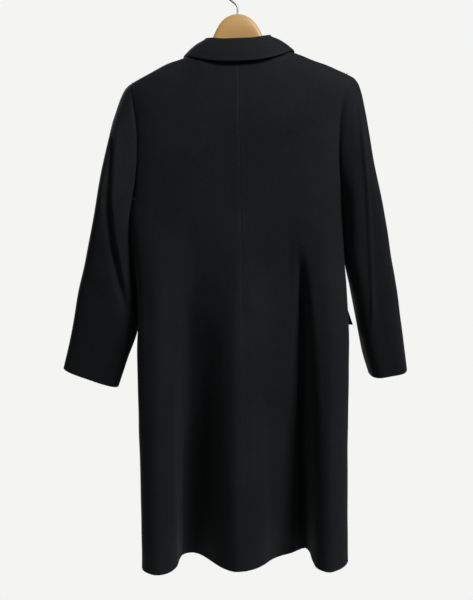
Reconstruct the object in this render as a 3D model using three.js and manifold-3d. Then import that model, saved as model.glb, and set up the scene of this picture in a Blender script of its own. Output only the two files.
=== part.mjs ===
// A single-breasted wool overcoat hanging on a wooden coat hanger.
//
// Millimetres, +Z up. The origin is the inside top of the hanger's hook, where a rail carries it.
// The coat's front faces -Y and the wearer's left is +X. "Out" is the distance from the centre
// line towards either side, "depth" is Y, and "level" is the distance below the origin.

import * as THREE from "three";
import { mergeVertices } from "three/addons/utils/BufferGeometryUtils.js";
import Module from "manifold-3d";

const wasm = await Module();
wasm.setup();

// Cloth
const CLOTH = 2.2;
const SEAM_GAP = 0.3;
const LAY_GAP = 0.5;
const UNDERLAP_DROP = 5.5;
const FLAP_CLOTH = 3.0;

// Body of the coat
const NECK_LEVEL = 150;
const UNDERARM_LEVEL = 424;
const HEM_LEVEL = 1121;
const NECK_HALF = 78;
const NECK_RISE = 16;
const NECK_DEPTH = { back: 36, front: -30 };
const BUTTON_OVERLAP = 20;
const BREAK_LEVEL = 402;

// Buttons
const BUTTON_RADIUS = 12.5;
const BUTTON_LEVELS = [446, 561, 676];
const BUTTON_SIDES = 20;
const BUTTON_SHARES = [-0.051, -0.001, 0.049];

// Button section from the middle of its back, round the rim, to the middle of its dished face
const BUTTON_PROFILE = [
  { radius: 0, height: 0 },
  { radius: 11.5, height: 0 },
  { radius: 12.5, height: 1 },
  { radius: 12.5, height: 2.6 },
  { radius: 11.3, height: 3.8 },
  { radius: 9.1, height: 3.2 },
  { radius: 0, height: 3 },
];

// Hanger
const WIRE_RADIUS = 1.9;
const HOOK_RADIUS = 22;
const SHANK_TOP_LEVEL = 53.8;
const SHANK_BEND = { out: 3.5, level: 45.6 };
const HOOK_TURN = { first: -48, last: 204, step: 14 };
const HANGER_TOP_LEVEL = 65;
const SHANK_SUNK = 14;

// Level of each shoulder seam, from the neck point to the shoulder tip: the coat hangs a little
// higher on the wearer's right
const SHOULDER_LINE = [
  { out: 78, left: 134, right: 134 },
  { out: 105, left: 149, right: 142 },
  { out: 140, left: 161, right: 156 },
  { out: 175, left: 175, right: 169 },
  { out: 205, left: 193, right: 182 },
  { out: 217, left: 201, right: 188 },
];

// How far the cloth has rounded over from the shoulder seam to its full depth
const SHOULDER_ROUND = [
  { below: 0, reach: 0 },
  { below: 5, reach: 0.3 },
  { below: 12, reach: 0.5 },
  { below: 28, reach: 0.72 },
  { below: 50, reach: 0.86 },
  { below: 80, reach: 0.95 },
  { below: 130, reach: 1 },
  { below: 400, reach: 1 },
];

// Body sections by level. Left and right are the half widths, cut is how far out the armhole cuts
// the section, slope is the share of the shoulder's fall that a row keeps, square is the exponent
// that makes a section boxy, and fold is how far the hem's folds have grown.
const BODY = [
  { level: 150, slope: 1.0, left: 216, right: 225, cut: 0.947, back: 50, front: -44, square: 4.6, fold: 0 },
  { level: 172, slope: 0.88, left: 213, right: 219, cut: 0.948, back: 50, front: -45, square: 4.6, fold: 0 },
  { level: 210, slope: 0.68, left: 211, right: 213, cut: 0.947, back: 51, front: -48, square: 4.6, fold: 0 },
  { level: 270, slope: 0.38, left: 207, right: 204, cut: 0.946, back: 52, front: -51, square: 4.6, fold: 0 },
  { level: 330, slope: 0.12, left: 205, right: 200, cut: 0.949, back: 52, front: -52, square: 4.6, fold: 0 },
  { level: 375, slope: 0.02, left: 206, right: 198, cut: 0.96, back: 51, front: -52, square: 4.6, fold: 0 },
  { level: 403, slope: 0, left: 206, right: 198, cut: 0.98, back: 50, front: -52, square: 4.5, fold: 0 },
  { level: 418, slope: 0, left: 207, right: 197, cut: 0.996, back: 49, front: -52, square: 4.4, fold: 0 },
  { level: 424, slope: 0, left: 208, right: 197, cut: 1, back: 49, front: -52, square: 4.4, fold: 0 },
  { level: 450, slope: 0, left: 212, right: 197, cut: 1, back: 48, front: -51, square: 4.3, fold: 0.01 },
  { level: 486, slope: 0, left: 213, right: 198, cut: 1, back: 47, front: -50, square: 4.2, fold: 0.04 },
  { level: 545, slope: 0, left: 208, right: 200, cut: 1, back: 47, front: -50, square: 4, fold: 0.11 },
  { level: 603, slope: 0, left: 203, right: 205, cut: 1, back: 49, front: -51, square: 3.8, fold: 0.22 },
  { level: 662, slope: 0, left: 204, right: 210, cut: 1, back: 52, front: -53, square: 3.6, fold: 0.33 },
  { level: 720, slope: 0, left: 209, right: 214, cut: 1, back: 55, front: -55, square: 3.4, fold: 0.43 },
  { level: 850, slope: 0, left: 209, right: 213, cut: 1, back: 60, front: -60, square: 3.2, fold: 0.63 },
  { level: 1000, slope: 0, left: 205, right: 206, cut: 1, back: 68, front: -64, square: 3, fold: 0.84 },
  { level: 1121, slope: 0, left: 200, right: 199, cut: 1, back: 75, front: -68, square: 3, fold: 1 },
];
const SIDE_DEPTH = -5;

// How much of a front's width the hem's folds take up
const HEM_FULLNESS = 0.12;

// Plan of the hem from the centre line out to each side seam
const HEM = {
  "back left": [
    { out: 0, depth: 85 },
    { out: 21, depth: 88 },
    { out: 43, depth: 69 },
    { out: 58, depth: 46 },
    { out: 76, depth: 14 },
    { out: 91, depth: -8 },
    { out: 106, depth: -18 },
    { out: 121, depth: -10 },
    { out: 127, depth: 18 },
    { out: 130, depth: 60 },
    { out: 144, depth: 90 },
    { out: 165, depth: 98 },
    { out: 190, depth: 76 },
    { out: 197, depth: 46 },
    { out: 197, depth: 18 },
    { out: 194, depth: -8 },
  ],
  "back right": [
    { out: 0, depth: 85 },
    { out: 18, depth: 74 },
    { out: 34, depth: 54 },
    { out: 50, depth: 26 },
    { out: 68, depth: 7 },
    { out: 88, depth: -6 },
    { out: 108, depth: -24 },
    { out: 122, depth: -34 },
    { out: 127, depth: -8 },
    { out: 127, depth: 40 },
    { out: 134, depth: 80 },
    { out: 152, depth: 98 },
    { out: 173, depth: 82 },
    { out: 190, depth: 52 },
    { out: 194, depth: 20 },
    { out: 190, depth: -8 },
  ],
  "front left": [
    { out: 0, depth: -70 },
    { out: 28, depth: -71 },
    { out: 56, depth: -80 },
    { out: 78, depth: -76 },
    { out: 96, depth: -56 },
    { out: 118, depth: -50 },
    { out: 140, depth: -64 },
    { out: 162, depth: -76 },
    { out: 184, depth: -62 },
    { out: 193, depth: -34 },
    { out: 194, depth: -8 },
  ],
  "front right": [
    { out: 0, depth: -70 },
    { out: 30, depth: -71 },
    { out: 60, depth: -77 },
    { out: 84, depth: -82 },
    { out: 104, depth: -68 },
    { out: 124, depth: -52 },
    { out: 146, depth: -58 },
    { out: 166, depth: -70 },
    { out: 182, depth: -58 },
    { out: 190, depth: -34 },
    { out: 190, depth: -8 },
  ],
};

// Inner edge of each front: the neck, the lapel's roll line, then the buttoned edge
const FRONT_EDGE = [
  { level: 150, out: 78 },
  { level: 175, out: 73 },
  { level: 200, out: 67 },
  { level: 250, out: 55 },
  { level: 350, out: 22 },
  { level: 402, out: 4 },
  { level: 440, out: -14 },
  { level: 465, out: -BUTTON_OVERLAP },
  { level: 1121, out: -BUTTON_OVERLAP },
];

// Sleeve sections by level: outer edge, inner edge, depth of the middle, half depth, and how far
// the section leans (fall for each millimetre towards the body, and for each towards the back)
const SLEEVE = {
  left: [
    { level: 193, outer: 205, inner: 165, depth: 0, halfDepth: 24, leanIn: 0, leanBack: 0 },
    { level: 196, outer: 213, inner: 165, depth: 0, halfDepth: 26, leanIn: 0, leanBack: 0 },
    { level: 203, outer: 222, inner: 167, depth: 0, halfDepth: 30, leanIn: 0, leanBack: 0 },
    { level: 220, outer: 231, inner: 173, depth: -1, halfDepth: 37, leanIn: 0, leanBack: 0 },
    { level: 252, outer: 241, inner: 182, depth: -2, halfDepth: 46, leanIn: 0, leanBack: 0 },
    { level: 311, outer: 255, inner: 193, depth: -4, halfDepth: 56, leanIn: 0, leanBack: 0 },
    { level: 369, outer: 268, inner: 203, depth: -6, halfDepth: 62, leanIn: 0, leanBack: 0 },
    { level: 428, outer: 279, inner: 212, depth: -8, halfDepth: 64, leanIn: 0.02, leanBack: 0 },
    { level: 486, outer: 292, inner: 215, depth: -14, halfDepth: 58, leanIn: 0.05, leanBack: 0.02 },
    { level: 545, outer: 304, inner: 210, depth: -22, halfDepth: 50, leanIn: 0.1, leanBack: 0.05 },
    { level: 603, outer: 318, inner: 205, depth: -24, halfDepth: 43, leanIn: 0.17, leanBack: 0.08 },
    { level: 662, outer: 330, inner: 207, depth: -28, halfDepth: 36, leanIn: 0.24, leanBack: 0.12 },
    { level: 720, outer: 345, inner: 230, depth: -32, halfDepth: 29, leanIn: 0.31, leanBack: 0.15 },
    { level: 773, outer: 359, inner: 249, depth: -38, halfDepth: 24, leanIn: 0.36, leanBack: 0.17 },
  ],
  right: [
    { level: 184, outer: 213, inner: 168, depth: 0, halfDepth: 24, leanIn: 0, leanBack: 0 },
    { level: 188, outer: 222, inner: 168, depth: 0, halfDepth: 26, leanIn: 0, leanBack: 0 },
    { level: 196, outer: 232, inner: 169, depth: 0, halfDepth: 30, leanIn: 0, leanBack: 0 },
    { level: 214, outer: 240, inner: 173, depth: -1, halfDepth: 37, leanIn: 0, leanBack: 0 },
    { level: 252, outer: 246, inner: 180, depth: -2, halfDepth: 46, leanIn: 0, leanBack: 0 },
    { level: 311, outer: 252, inner: 187, depth: -4, halfDepth: 56, leanIn: 0, leanBack: 0 },
    { level: 369, outer: 260, inner: 194, depth: -6, halfDepth: 63, leanIn: 0, leanBack: 0 },
    { level: 428, outer: 272, inner: 199, depth: -8, halfDepth: 65, leanIn: 0.01, leanBack: 0 },
    { level: 486, outer: 282, inner: 201, depth: -9, halfDepth: 61, leanIn: 0.03, leanBack: 0.03 },
    { level: 545, outer: 291, inner: 204, depth: -11, halfDepth: 57, leanIn: 0.05, leanBack: 0.08 },
    { level: 603, outer: 302, inner: 214, depth: -15, halfDepth: 53, leanIn: 0.08, leanBack: 0.14 },
    { level: 662, outer: 311, inner: 226, depth: -24, halfDepth: 49, leanIn: 0.11, leanBack: 0.19 },
    { level: 720, outer: 321, inner: 239, depth: -37, halfDepth: 46, leanIn: 0.14, leanBack: 0.23 },
    { level: 768, outer: 329, inner: 254, depth: -49, halfDepth: 44, leanIn: 0.16, leanBack: 0.26 },
  ],
};
const SLEEVE_SETTLE = 90;
const BACK_SEAM_COLUMN = 8;
const FRONT_SEAM_COLUMN = 14;

// Collar stations from the centre back to the gorge: the fold line, the fall's lower edge and the
// neck seam
const COLLAR = [
  { turn: 0, foldOut: 0, foldDepth: 40, foldLevel: 127, edgeOut: 0, edgeDepth: 58, edgeLevel: 176,
    seamOut: 0, seamDepth: 35.5, seamLevel: 150 },
  { turn: 0.16, foldOut: 27, foldDepth: 37, foldLevel: 126, edgeOut: 40, edgeDepth: 55, edgeLevel: 174,
    seamOut: 27, seamDepth: 33.3, seamLevel: 149 },
  { turn: 0.32, foldOut: 49, foldDepth: 27, foldLevel: 123, edgeOut: 76, edgeDepth: 43, edgeLevel: 164,
    seamOut: 53, seamDepth: 26.2, seamLevel: 144 },
  { turn: 0.46, foldOut: 61, foldDepth: 11, foldLevel: 121, edgeOut: 99, edgeDepth: 21, edgeLevel: 151,
    seamOut: 70, seamDepth: 15.5, seamLevel: 137.8 },
  { turn: 0.58, foldOut: 65, foldDepth: -6, foldLevel: 122, edgeOut: 107, edgeDepth: -4, edgeLevel: 145.5,
    seamOut: 77, seamDepth: 0, seamLevel: 134.2 },
  { turn: 0.72, foldOut: 66, foldDepth: -23, foldLevel: 134, edgeOut: 111, edgeDepth: -32, edgeLevel: 166,
    seamOut: 74, seamDepth: -19, seamLevel: 147 },
  { turn: 0.86, foldOut: 65, foldDepth: -37, foldLevel: 152, edgeOut: 110, edgeDepth: -45, edgeLevel: 190,
    seamOut: 71.5, seamDepth: -32, seamLevel: 163 },
  { turn: 1, foldOut: 63, foldDepth: -46, foldLevel: 174, edgeOut: 98, edgeDepth: -50, edgeLevel: 206,
    seamOut: 68, seamDepth: -38, seamLevel: 179 },
];

// On the wearer's right the fall lies higher, over the higher shoulder
const COLLAR_LIFT = [
  { turn: 0, lift: 0 },
  { turn: 0.3, lift: 3 },
  { turn: 0.48, lift: 7.5 },
  { turn: 0.64, lift: 7 },
  { turn: 0.86, lift: 2 },
  { turn: 1, lift: 0 },
];
const COLLAR_REACH = 0.5;
const COLLAR_FOLD_LIFT = 0.4;

// Share of the stand, from its top, that the fall's inner edge covers, and how far both lie inside
const STAND_SHARE = 0.28;
const STAND_SET = -1.4;

// Path of the fall from its lower edge to the fold line: the share of the way down from the fold,
// then how far the cloth stands out and up from that straight line
const FALL_ROLL = [
  { down: 1, out: 0, up: 0 },
  { down: 0.66, out: 1.5, up: 1.5 },
  { down: 0.33, out: 2.5, up: 2 },
  { down: 0, out: 3.6, up: -2 },
  { down: 0, out: 0, up: 0 },
];
const FALL_END_RISE = 3;

// Lapel width by level, measured across the chest from the roll line
const LAPEL = [
  { level: 186, width: 2 },
  { level: 238, width: 72 },
  { level: 290, width: 66 },
  { level: 350, width: 42 },
  { level: 402, width: 8 },
];

// Pocket flaps on the fronts
const FLAP = { topLevel: 628, height: 48, firstColumn: 4, lastColumn: 11 };
const FLAP_STAND = { left: 2, right: 26 };

// Half of the hanger, from its hump to the end of an arm
const HANGER = [
  { out: 0, top: 65, tall: 62, thick: 14 },
  { out: 12, top: 66.5, tall: 61, thick: 14 },
  { out: 24, top: 72.5, tall: 57, thick: 14 },
  { out: 34, top: 82, tall: 51, thick: 14 },
  { out: 42, top: 95, tall: 42, thick: 14 },
  { out: 50, top: 113, tall: 33, thick: 14 },
  { out: 60, top: 130, tall: 26, thick: 15 },
  { out: 71, top: 138.5, tall: 23, thick: 15 },
  { out: 80, top: 142, tall: 22, thick: 16 },
  { out: 105, top: 154.5, tall: 21, thick: 17 },
  { out: 140, top: 166.5, tall: 20, thick: 16 },
  { out: 175, top: 181, tall: 18, thick: 15 },
  { out: 196, top: 193, tall: 12, thick: 12 },
  { out: 201, top: 196.5, tall: 6, thick: 8 },
];

// Grid of the cloth pieces
const ARMHOLE_STEPS = 11;
const SKIRT_STEPS = 11;
const BACK_COLUMNS = 15;
const FRONT_COLUMNS = 12;
const SLEEVE_ROWS = [0, 0.012, 0.03, 0.06, 0.11, 0.18, 0.28, 0.4, 0.52, 0.64, 0.76, 0.88, 1];
const PLAN_STEPS = 90;

const cloth = new THREE.MeshStandardMaterial({ color: 0x1c1f21, roughness: 0.95, metalness: 0 });
const horn = new THREE.MeshStandardMaterial({ color: 0x121212, roughness: 0.4, metalness: 0 });
const wood = new THREE.MeshStandardMaterial({ color: 0xdca466, roughness: 0.45, metalness: 0 });
const steel = new THREE.MeshStandardMaterial({ color: 0xa9adb0, roughness: 0.3, metalness: 1 });

const clamp01 = (value) => Math.min(1, Math.max(0, value));

function ease(from, to, value) {
  const t = clamp01((value - from) / (to - from));
  return t * t * (3 - 2 * t);
}

// Smooth curve through a table's column, with flat ends beyond the table
function read(table, key, column, value) {
  const last = table.length - 1;
  if (value <= table[0][key]) return table[0][column];
  if (value >= table[last][key]) return table[last][column];
  let i = 0;
  while (value > table[i + 1][key]) i += 1;
  const slope = (k) => {
    const low = table[Math.max(0, k - 1)];
    const high = table[Math.min(last, k + 1)];
    return (high[column] - low[column]) / (high[key] - low[key]);
  };
  const a = table[i];
  const b = table[i + 1];
  const span = b[key] - a[key];
  const t = (value - a[key]) / span;
  const t2 = t * t;
  const t3 = t2 * t;
  return (2 * t3 - 3 * t2 + 1) * a[column] + (t3 - 2 * t2 + t) * span * slope(i)
    + (3 * t2 - 2 * t3) * b[column] + (t3 - t2) * span * slope(i + 1);
}

// A plan curve as points evenly spaced along it, read at any share of its length
function evenly(points) {
  const along = [0];
  for (let i = 1; i < points.length; i += 1) {
    along.push(along[i - 1] + Math.hypot(points[i][0] - points[i - 1][0], points[i][1] - points[i - 1][1]));
  }
  const length = along[along.length - 1];
  const at = (share) => {
    const target = clamp01(share) * length;
    let i = 1;
    while (i < along.length - 1 && along[i] < target) i += 1;
    const t = (target - along[i - 1]) / (along[i] - along[i - 1]);
    return [0, 1].map((axis) => points[i - 1][axis] + t * (points[i][axis] - points[i - 1][axis]));
  };
  return { at, length };
}

function hemCurve(rows) {
  const spline = new THREE.CatmullRomCurve3(rows.map((row) => new THREE.Vector3(row.out, row.depth, 0)));
  return evenly(spline.getPoints(PLAN_STEPS * 2).map((point) => [point.x, point.y]));
}

const hemCurves = {};
for (const [name, rows] of Object.entries(HEM)) hemCurves[name] = hemCurve(rows);

const sections = new Map();

// Plan section of a quarter of the body with no folds, from the centre line to the side, and the
// share of its length that the armhole leaves
function plainSection(face, side, level) {
  const key = `${face} ${side} ${level.toFixed(3)}`;
  if (sections.has(key)) return sections.get(key);
  const halfWidth = read(BODY, "level", side, level);
  const middle = read(BODY, "level", face, level);
  const power = 2 / read(BODY, "level", "square", level);
  const points = [];
  for (let i = 0; i <= PLAN_STEPS; i += 1) {
    const angle = ((i / PLAN_STEPS) ** 1.7 * Math.PI) / 2;
    const out = halfWidth * Math.sin(angle) ** power;
    points.push([out, SIDE_DEPTH + (middle - SIDE_DEPTH) * Math.max(0, Math.cos(angle)) ** power]);
  }
  const section = evenly(points);
  const cutOut = halfWidth * read(BODY, "level", "cut", level);
  section.cut = level < UNDERARM_LEVEL ? shareWhere(section, cutOut) : 1;
  sections.set(key, section);
  return section;
}

// Share of a section's length at which it has come a given distance out
function shareWhere(section, out) {
  let low = 0;
  let high = 1;
  for (let i = 0; i < 40; i += 1) {
    const middle = (low + high) / 2;
    if (section.at(middle)[0] < out) low = middle;
    else high = middle;
  }
  return low;
}

function topLevel(side, out) {
  if (out >= NECK_HALF) return read(SHOULDER_LINE, "out", side, out);
  return NECK_LEVEL - NECK_RISE * (out / NECK_HALF) ** 2.5;
}

function neckDepth(face, out) {
  const across = clamp01(out / NECK_HALF);
  return NECK_DEPTH[face] * Math.sqrt(1 - across * across);
}

// A point of the coat's body: share runs from -1 at the wearer's right edge to 1 at the left edge
function bodyPoint(face, share, level) {
  const side = share < 0 ? "right" : "left";
  const along = Math.abs(share);
  const section = plainSection(face, side, level);
  const plain = section.at(along * section.cut);
  const folded = hemCurves[`${face} ${side}`].at(along);
  const fold = level > UNDERARM_LEVEL ? read(BODY, "level", "fold", level) : 0;
  const out = plain[0] + (folded[0] - plain[0]) * fold;
  const slope = read(BODY, "level", "slope", level);
  const top = topLevel(side, out);
  const height = -level + slope * (NECK_LEVEL - top);
  const below = -top - height;
  const neck = neckDepth(face, out);
  const full = plain[1] + (folded[1] - plain[1]) * fold;
  const depth = neck + (full - neck) * read(SHOULDER_ROUND, "below", "reach", below);
  return new THREE.Vector3(share < 0 ? -out : out, depth, height);
}

function normalOf(surface, u, v, du, dv) {
  const alongU = surface(u + du, v).sub(surface(u - du, v));
  const alongV = surface(u, v + dv).sub(surface(u, v - dv));
  return alongU.cross(alongV).normalize();
}

// Closed wall of cloth behind a grid of outer points
function wallGeometry(points, normals, thickness) {
  const rows = points.length;
  const columns = points[0].length;
  const positions = [];
  const put = (p) => positions.push(p.x, p.y, p.z);
  points.forEach((row) => row.forEach(put));
  const behind = (p, i, j) => p.clone().addScaledVector(normals[i][j], -thickness);
  points.forEach((row, i) => row.forEach((p, j) => put(behind(p, i, j))));
  const outer = (i, j) => i * columns + j;
  const inner = (i, j) => (rows + i) * columns + j;
  const faces = [];
  const quad = (a, b, c, d) => faces.push(a, b, c, a, c, d);
  for (let i = 0; i + 1 < rows; i += 1) {
    for (let j = 0; j + 1 < columns; j += 1) {
      quad(outer(i, j), outer(i + 1, j), outer(i + 1, j + 1), outer(i, j + 1));
      quad(inner(i, j + 1), inner(i + 1, j + 1), inner(i + 1, j), inner(i, j));
    }
    quad(outer(i, 0), inner(i, 0), inner(i + 1, 0), outer(i + 1, 0));
    quad(outer(i, columns - 1), outer(i + 1, columns - 1), inner(i + 1, columns - 1), inner(i, columns - 1));
  }
  for (let j = 0; j + 1 < columns; j += 1) {
    quad(outer(0, j), outer(0, j + 1), inner(0, j + 1), inner(0, j));
    quad(outer(rows - 1, j), inner(rows - 1, j), inner(rows - 1, j + 1), outer(rows - 1, j + 1));
  }
  const middleRow = Math.floor(rows / 2);
  const middle = Math.floor(columns / 2);
  const here = points[middleRow][middle];
  const down = points[middleRow - 1][middle].clone().sub(here).negate();
  const across = points[middleRow][middle - 1].clone().sub(here).negate();
  if (down.cross(across).dot(normals[middleRow][middle]) < 0) {
    for (let k = 0; k < faces.length; k += 3) [faces[k + 1], faces[k + 2]] = [faces[k + 2], faces[k + 1]];
  }
  const geometry = new THREE.BufferGeometry();
  geometry.setAttribute("position", new THREE.Float32BufferAttribute(positions, 3));
  geometry.setIndex(faces);
  return geometry;
}

function namedMesh(name, geometry, material) {
  geometry.computeVertexNormals();
  const mesh = new THREE.Mesh(geometry, material);
  mesh.name = name;
  return mesh;
}

const armholeLevels = [];
for (let i = 0; i <= ARMHOLE_STEPS; i += 1) {
  const t = i / ARMHOLE_STEPS;
  armholeLevels.push(NECK_LEVEL + (UNDERARM_LEVEL - NECK_LEVEL) * (1 - (1 - t ** 1.45) ** 2.1));
}
const skirtLevels = [];
for (let i = 1; i <= SKIRT_STEPS; i += 1) {
  skirtLevels.push(UNDERARM_LEVEL + ((HEM_LEVEL - UNDERARM_LEVEL) * i) / SKIRT_STEPS);
}
const bodyLevels = [...armholeLevels, ...skirtLevels];

// Outward normal of the body, with the part across a seam taken out along that seam
function bodyNormal(face, share, level) {
  const surface = (u, v) => bodyPoint(face, u, v);
  const step = Math.abs(share) > 0.98 ? 0.02 : 0.01;
  const held = Math.sign(share) * Math.min(Math.abs(share), 1 - step);
  const normal = normalOf(surface, held, Math.min(Math.max(level, NECK_LEVEL + 2), HEM_LEVEL - 2), step, 2);
  const point = bodyPoint(face, share, level);
  if (face === "front") normal.negate();
  if (level < NECK_LEVEL + 1 && Math.abs(point.x) > NECK_HALF - 1) normal.set(normal.x * 0.3, 0, 1);
  if (level >= UNDERARM_LEVEL - 1 && Math.abs(share) > 0.999) normal.set(Math.sign(share), 0, 0);
  if (Math.abs(share) < 0.001) normal.x = 0;
  return normal.normalize();
}

// Room left along a seam: at the centre line, the side seam and the shoulder
function seamShift(face, share, level, sideSign) {
  const shift = new THREE.Vector3();
  const half = SEAM_GAP / 2;
  const inward = face === "back" ? 1 : -1;
  if (Math.abs(share) < 0.001) shift.x = sideSign * half;
  if (Math.abs(share) > 0.999 && level >= UNDERARM_LEVEL - 1) shift.y = inward * half;
  if (level < NECK_LEVEL + 1) shift.y = inward * half;
  return shift;
}

function backPanel(sideSign) {
  const points = [];
  const normals = [];
  for (const level of bodyLevels) {
    const row = [];
    const rowNormals = [];
    for (let j = 0; j <= BACK_COLUMNS; j += 1) {
      const share = (sideSign * j) / BACK_COLUMNS;
      const point = bodyPoint("back", share, level);
      point.x = sideSign * Math.abs(point.x);
      row.push(point.add(seamShift("back", share, level, sideSign)));
      rowNormals.push(bodyNormal("back", share, level));
    }
    points.push(row);
    normals.push(rowNormals);
  }
  return wallGeometry(points, normals, CLOTH);
}

// The wearer's left front lies under the right one along the buttons
function frontSurface(sideSign, share, level) {
  const point = bodyPoint("front", share, level);
  const from = sideSign * point.x;
  if (sideSign > 0) point.y += UNDERLAP_DROP * (1 - ease(26, 70, from));
  return point;
}

// Share of a front's width that lies a given distance from the centre line
function shareAt(sideSign, out, level) {
  const section = plainSection("front", sideSign < 0 ? "right" : "left", level);
  const folded = HEM_FULLNESS * read(BODY, "level", "fold", level);
  return (out / (section.length * section.cut)) * (1 - folded);
}

function frontShare(sideSign, level, column) {
  const start = shareAt(sideSign, read(FRONT_EDGE, "level", "out", level), level);
  return start + ((1 - start) * column) / FRONT_COLUMNS;
}

function frontPanel(sideSign) {
  const points = [];
  const normals = [];
  for (const level of bodyLevels) {
    const row = [];
    const rowNormals = [];
    for (let j = 0; j <= FRONT_COLUMNS; j += 1) {
      const share = sideSign * frontShare(sideSign, level, j);
      row.push(frontSurface(sideSign, share, level).add(seamShift("front", share, level, sideSign)));
      rowNormals.push(bodyNormal("front", share, level));
    }
    points.push(row);
    normals.push(rowNormals);
  }
  return wallGeometry(points, normals, CLOTH);
}

// The armhole runs from the shoulder tip (0) down the back to the underarm and up the front
function armholePoint(sideSign, column) {
  const onBack = column <= ARMHOLE_STEPS;
  const index = onBack ? Math.max(0, column) : Math.max(0, 2 * ARMHOLE_STEPS - column);
  const low = Math.min(ARMHOLE_STEPS - 1, Math.floor(index));
  const level = armholeLevels[low] + (armholeLevels[low + 1] - armholeLevels[low]) * (index - low);
  const face = onBack ? "back" : "front";
  return { point: bodyPoint(face, sideSign, level), face, level };
}

// Angle round the sleeve at each armhole column, from its length along the armhole
const armholeAngles = [0];
for (let k = 1; k <= 2 * ARMHOLE_STEPS; k += 1) {
  const step = armholePoint(1, k).point.distanceTo(armholePoint(1, k - 1).point);
  armholeAngles.push(armholeAngles[k - 1] + step);
}
const armholeLength = armholeAngles[2 * ARMHOLE_STEPS];
const halfArmhole = armholeAngles[ARMHOLE_STEPS];

function sleeveAngle(column) {
  const k = Math.min(2 * ARMHOLE_STEPS - 1, Math.max(0, Math.floor(column)));
  const along = armholeAngles[k] + (armholeAngles[k + 1] - armholeAngles[k]) * (column - k);
  if (along <= halfArmhole) return (Math.PI * along) / halfArmhole;
  return Math.PI * (1 + (along - halfArmhole) / (armholeLength - halfArmhole));
}

function tubePoint(name, sideSign, angle, level) {
  const rows = SLEEVE[name];
  const value = (column) => read(rows, "level", column, level);
  const half = (value("outer") - value("inner")) / 2;
  const across = half * Math.cos(angle);
  const back = value("halfDepth") * Math.sin(angle);
  const fall = -across * value("leanIn") + back * value("leanBack");
  const out = (value("outer") + value("inner")) / 2 + across;
  return new THREE.Vector3(sideSign * out, value("depth") + back, -level - fall);
}

function sleevePoint(name, sideSign, column, down) {
  const start = armholePoint(sideSign, column).point;
  const angle = sleeveAngle(column);
  const startLevel = -start.z;
  const rows = SLEEVE[name];
  const endLevel = rows[rows.length - 1].level;
  const level = startLevel + (endLevel - startLevel) * down;
  const settle = clamp01((level - startLevel) / SLEEVE_SETTLE);
  const offset = start.clone().sub(tubePoint(name, sideSign, angle, startLevel));
  const point = tubePoint(name, sideSign, angle, level).addScaledVector(offset, (1 - settle) ** 2);
  point.x += sideSign * SEAM_GAP;
  return point;
}

function sleeveNormal(name, sideSign, column, down) {
  const wrap = (u) => (u + 2 * ARMHOLE_STEPS) % (2 * ARMHOLE_STEPS);
  const surface = (u, v) => sleevePoint(name, sideSign, wrap(u), v);
  const held = Math.min(0.985, Math.max(down, 0.012));
  const normal = normalOf(surface, column, held, 0.4, 0.01);
  const rows = SLEEVE[name];
  const point = surface(wrap(column), held);
  const level = -point.z;
  const centre = (read(rows, "level", "outer", level) + read(rows, "level", "inner", level)) / 2;
  const middle = read(rows, "level", "depth", level);
  const outwards = new THREE.Vector3(point.x - sideSign * centre, point.y - middle, 0);
  if (normal.dot(outwards) < 0) normal.negate();
  if (down > 0) return normal;
  const arm = armholePoint(sideSign, column);
  const body = bodyNormal(arm.face, sideSign, Math.min(arm.level, UNDERARM_LEVEL - 2));
  const turned = Math.abs(((sleeveAngle(column) * 180) / Math.PI) - 180);
  const own = 1 - ease(30, 70, turned);
  return body.multiplyScalar(1 - own).addScaledVector(normal, own).normalize();
}

function sleevePiece(name, sideSign, firstColumn, lastColumn) {
  const points = [];
  const normals = [];
  for (const down of SLEEVE_ROWS) {
    const row = [];
    const rowNormals = [];
    for (let k = firstColumn; k <= lastColumn; k += 1) {
      const column = (k + 2 * ARMHOLE_STEPS) % (2 * ARMHOLE_STEPS);
      const point = sleevePoint(name, sideSign, column, down);
      const atSeam = k === firstColumn ? 1 : k === lastColumn ? -1 : 0;
      if (atSeam) {
        const beside = (k + atSeam + 2 * ARMHOLE_STEPS) % (2 * ARMHOLE_STEPS);
        const along = sleevePoint(name, sideSign, beside, down).sub(point).normalize();
        point.addScaledVector(along, SEAM_GAP / 2);
      }
      row.push(point);
      rowNormals.push(sleeveNormal(name, sideSign, column, down));
    }
    points.push(row);
    normals.push(rowNormals);
  }
  return wallGeometry(points, normals, CLOTH);
}

function collarStation(turn) {
  const value = (column) => read(COLLAR, "turn", column, Math.abs(turn));
  const side = turn < 0 ? -1 : 1;
  const place = (name) => {
    return new THREE.Vector3(side * value(`${name}Out`), value(`${name}Depth`), -value(`${name}Level`));
  };
  const station = { fold: place("fold"), edge: place("edge"), seam: place("seam") };
  if (turn < 0) {
    const lift = read(COLLAR_LIFT, "turn", "lift", -turn);
    station.edge.z += lift;
    station.edge.x -= lift * COLLAR_REACH;
    station.fold.z += lift * COLLAR_FOLD_LIFT;
  }
  return station;
}

// The fall rises from its lower edge, rolls over the fold line and ends just inside the neck
function fallPoint(turn, across) {
  const { fold, edge, seam } = collarStation(turn);
  const outward = edge.clone().sub(fold).setZ(0).normalize();
  const up = new THREE.Vector3(0, 0, 1);
  const inside = fold.clone().lerp(seam, STAND_SHARE);
  const slope = edge.clone().sub(fold);
  const outside = FALL_ROLL.map((row) => {
    const place = fold.clone().addScaledVector(slope, row.down);
    return place.addScaledVector(outward, row.out).addScaledVector(up, row.up);
  });
  const end = inside.clone().addScaledVector(outward, STAND_SET);
  const path = [...outside, end.clone().addScaledVector(up, FALL_END_RISE), end];
  return new THREE.CatmullRomCurve3(path).getPoint(across);
}

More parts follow.
